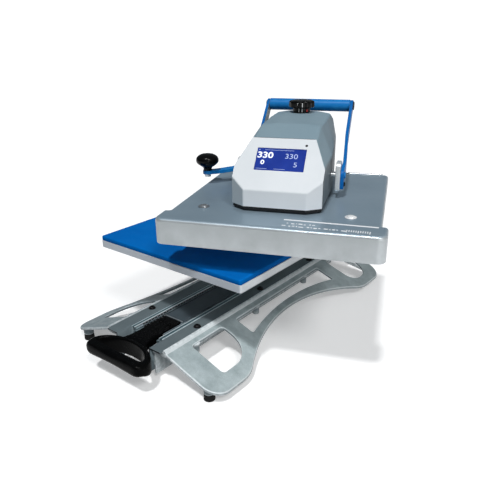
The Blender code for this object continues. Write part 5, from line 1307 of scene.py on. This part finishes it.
# pale strips on the knob's flank and collar: pointer marks that also stand as painted highlights
marks_and_highlights = bmesh.new()
for angle in (262.0, 283.0):
    spin = Matrix.Rotation(math.radians(angle), 4, "Z")
    add(marks_and_highlights, moved(block(26.9, 28.7, -0.9, 0.9, 13.2, 22.0, 0.4, 0.2, 0.2), spin))
    add(marks_and_highlights, moved(block(18.6, 19.9, -0.8, 0.8, 1.4, 9.0, 0.4, 0.2, 0.2), spin))
make("knob_marks_and_highlights", marks_and_highlights, "mark", "pressure_knob", KNOB)
spot = moved(block(18.2, 20.3, -2.2, 2.2, 2.2, 7.2, 0.8, 0.3, 0.3), Matrix.Rotation(math.radians(318.0), 4, "Z"))
make("knob_spot", spot, "red", "pressure_knob", KNOB)
dress("pressure_screw", "steel", 0.4)
dress("pressure_nut", "bronze", 0.6)

# ---- studio -------------------------------------------------------------------------
scene = bpy.context.scene
scene.view_settings.view_transform = "Standard"
world = bpy.data.worlds.new("studio")
scene.world = world
world.use_nodes = True
tree = world.node_tree
background = tree.nodes["Background"]
look = node(tree, "ShaderNodeTexCoord").outputs["Generated"]
# soft light that grows from the dark left front of the studio to its bright right rear, and falls off overhead
turn_to = node(tree, "ShaderNodeVectorMath", operation="DOT_PRODUCT")
turn_to.inputs[1].default_value = (0.90, 0.42, 0.0)
tree.links.new(look, turn_to.inputs[0])
across_room = spread(tree, turn_to.outputs["Value"], 0.0, 1.0, -1.0, 1.0)
split = node(tree, "ShaderNodeSeparateXYZ")
tree.links.new(look, split.inputs["Vector"])
overhead = spread(tree, split.outputs["Z"], 0.0, 1.0, -1.0, 1.0)
tone = ramp(tree, across_room, [(0.0, (0.11, 0.14, 0.165)), (0.4, (0.345, 0.405, 0.45)), (0.7, (0.46, 0.48, 0.49)), (1.0, (0.50, 0.50, 0.50))])
height = ramp(tree, overhead, [(0.0, (0.5, 0.5, 0.5)), (0.45, (0.9, 0.9, 0.9)), (0.6, (0.95, 0.95, 0.95)), (1.0, (0.8, 0.8, 0.8))])
tree.links.new(mix(tree, tone, height, 1.0, "MULTIPLY"), background.inputs["Color"])
background.inputs["Strength"].default_value = 0.43


def lamp(name, kind, energy, place, target, **values):
    data = bpy.data.lights.new(name, kind)
    data.energy = energy
    for key, value in values.items():
        setattr(data, key, value)
    obj = bpy.data.objects.new(name, data)
    bpy.context.scene.collection.objects.link(obj)
    obj.location = place
    obj.rotation_mode = "QUATERNION"
    obj.rotation_quaternion = (Vector(target) - Vector(place)).to_track_quat("-Z", "Y")
    return obj


lamp("key", "SUN", 1.95, (0.36, -1.18, 2.73), (0, 0, 0), angle=math.radians(5.0))
lamp("cross", "SUN", 1.0, (1.815, -0.978, 2.181), (0, 0, 0), angle=math.radians(14.0))
lamp("side", "AREA", 14.0, (2.2, -1.2, 0.6), (0, 0, 0.2), shape="RECTANGLE", size=1.6, size_y=1.4)

floor_mesh = bpy.data.meshes.new("floor")
bm = bmesh.new()
bmesh.ops.create_grid(bm, x_segments=2, y_segments=2, size=60.0)
bm.to_mesh(floor_mesh)
bm.free()
floor = bpy.data.objects.new("floor", floor_mesh)
scene.collection.objects.link(floor)
floor.location.z = -0.0006
floor.visible_diffuse = False
paper = surface("floor_paper", (0.84, 0.84, 0.84), (0.87, 0.87, 0.87), 3.0, (0.75, 0.9), 0.0, 300.0, 0.03, 0.1, speckle=0.02, specular=0.1)
paper.node_tree.nodes["Principled BSDF"].inputs["Emission Color"].default_value = (1.0, 1.0, 1.0, 1.0)
paper.node_tree.nodes["Principled BSDF"].inputs["Emission Strength"].default_value = 0.30
floor_mesh.materials.append(paper)
wall_mesh = bpy.data.meshes.new("backdrop")
bm = loft([[(x, y, -0.01) for x, y in circle(0, 0, 50.0, 64)], [(x, y, 40.0) for x, y in circle(0, 0, 50.0, 64)]], caps=False)
bm.to_mesh(wall_mesh)
bm.free()
wall = bpy.data.objects.new("backdrop", wall_mesh)
scene.collection.objects.link(wall)
for flag in ("visible_diffuse", "visible_glossy", "visible_transmission", "visible_volume_scatter", "visible_shadow"):
    setattr(wall, flag, False)
white = bpy.data.materials.new("backdrop_white")
white.use_nodes = True
white.node_tree.nodes["Principled BSDF"].inputs["Emission Color"].default_value = (1.0, 1.0, 1.0, 1.0)
white.node_tree.nodes["Principled BSDF"].inputs["Emission Strength"].default_value = 1.0
wall_mesh.materials.append(white)
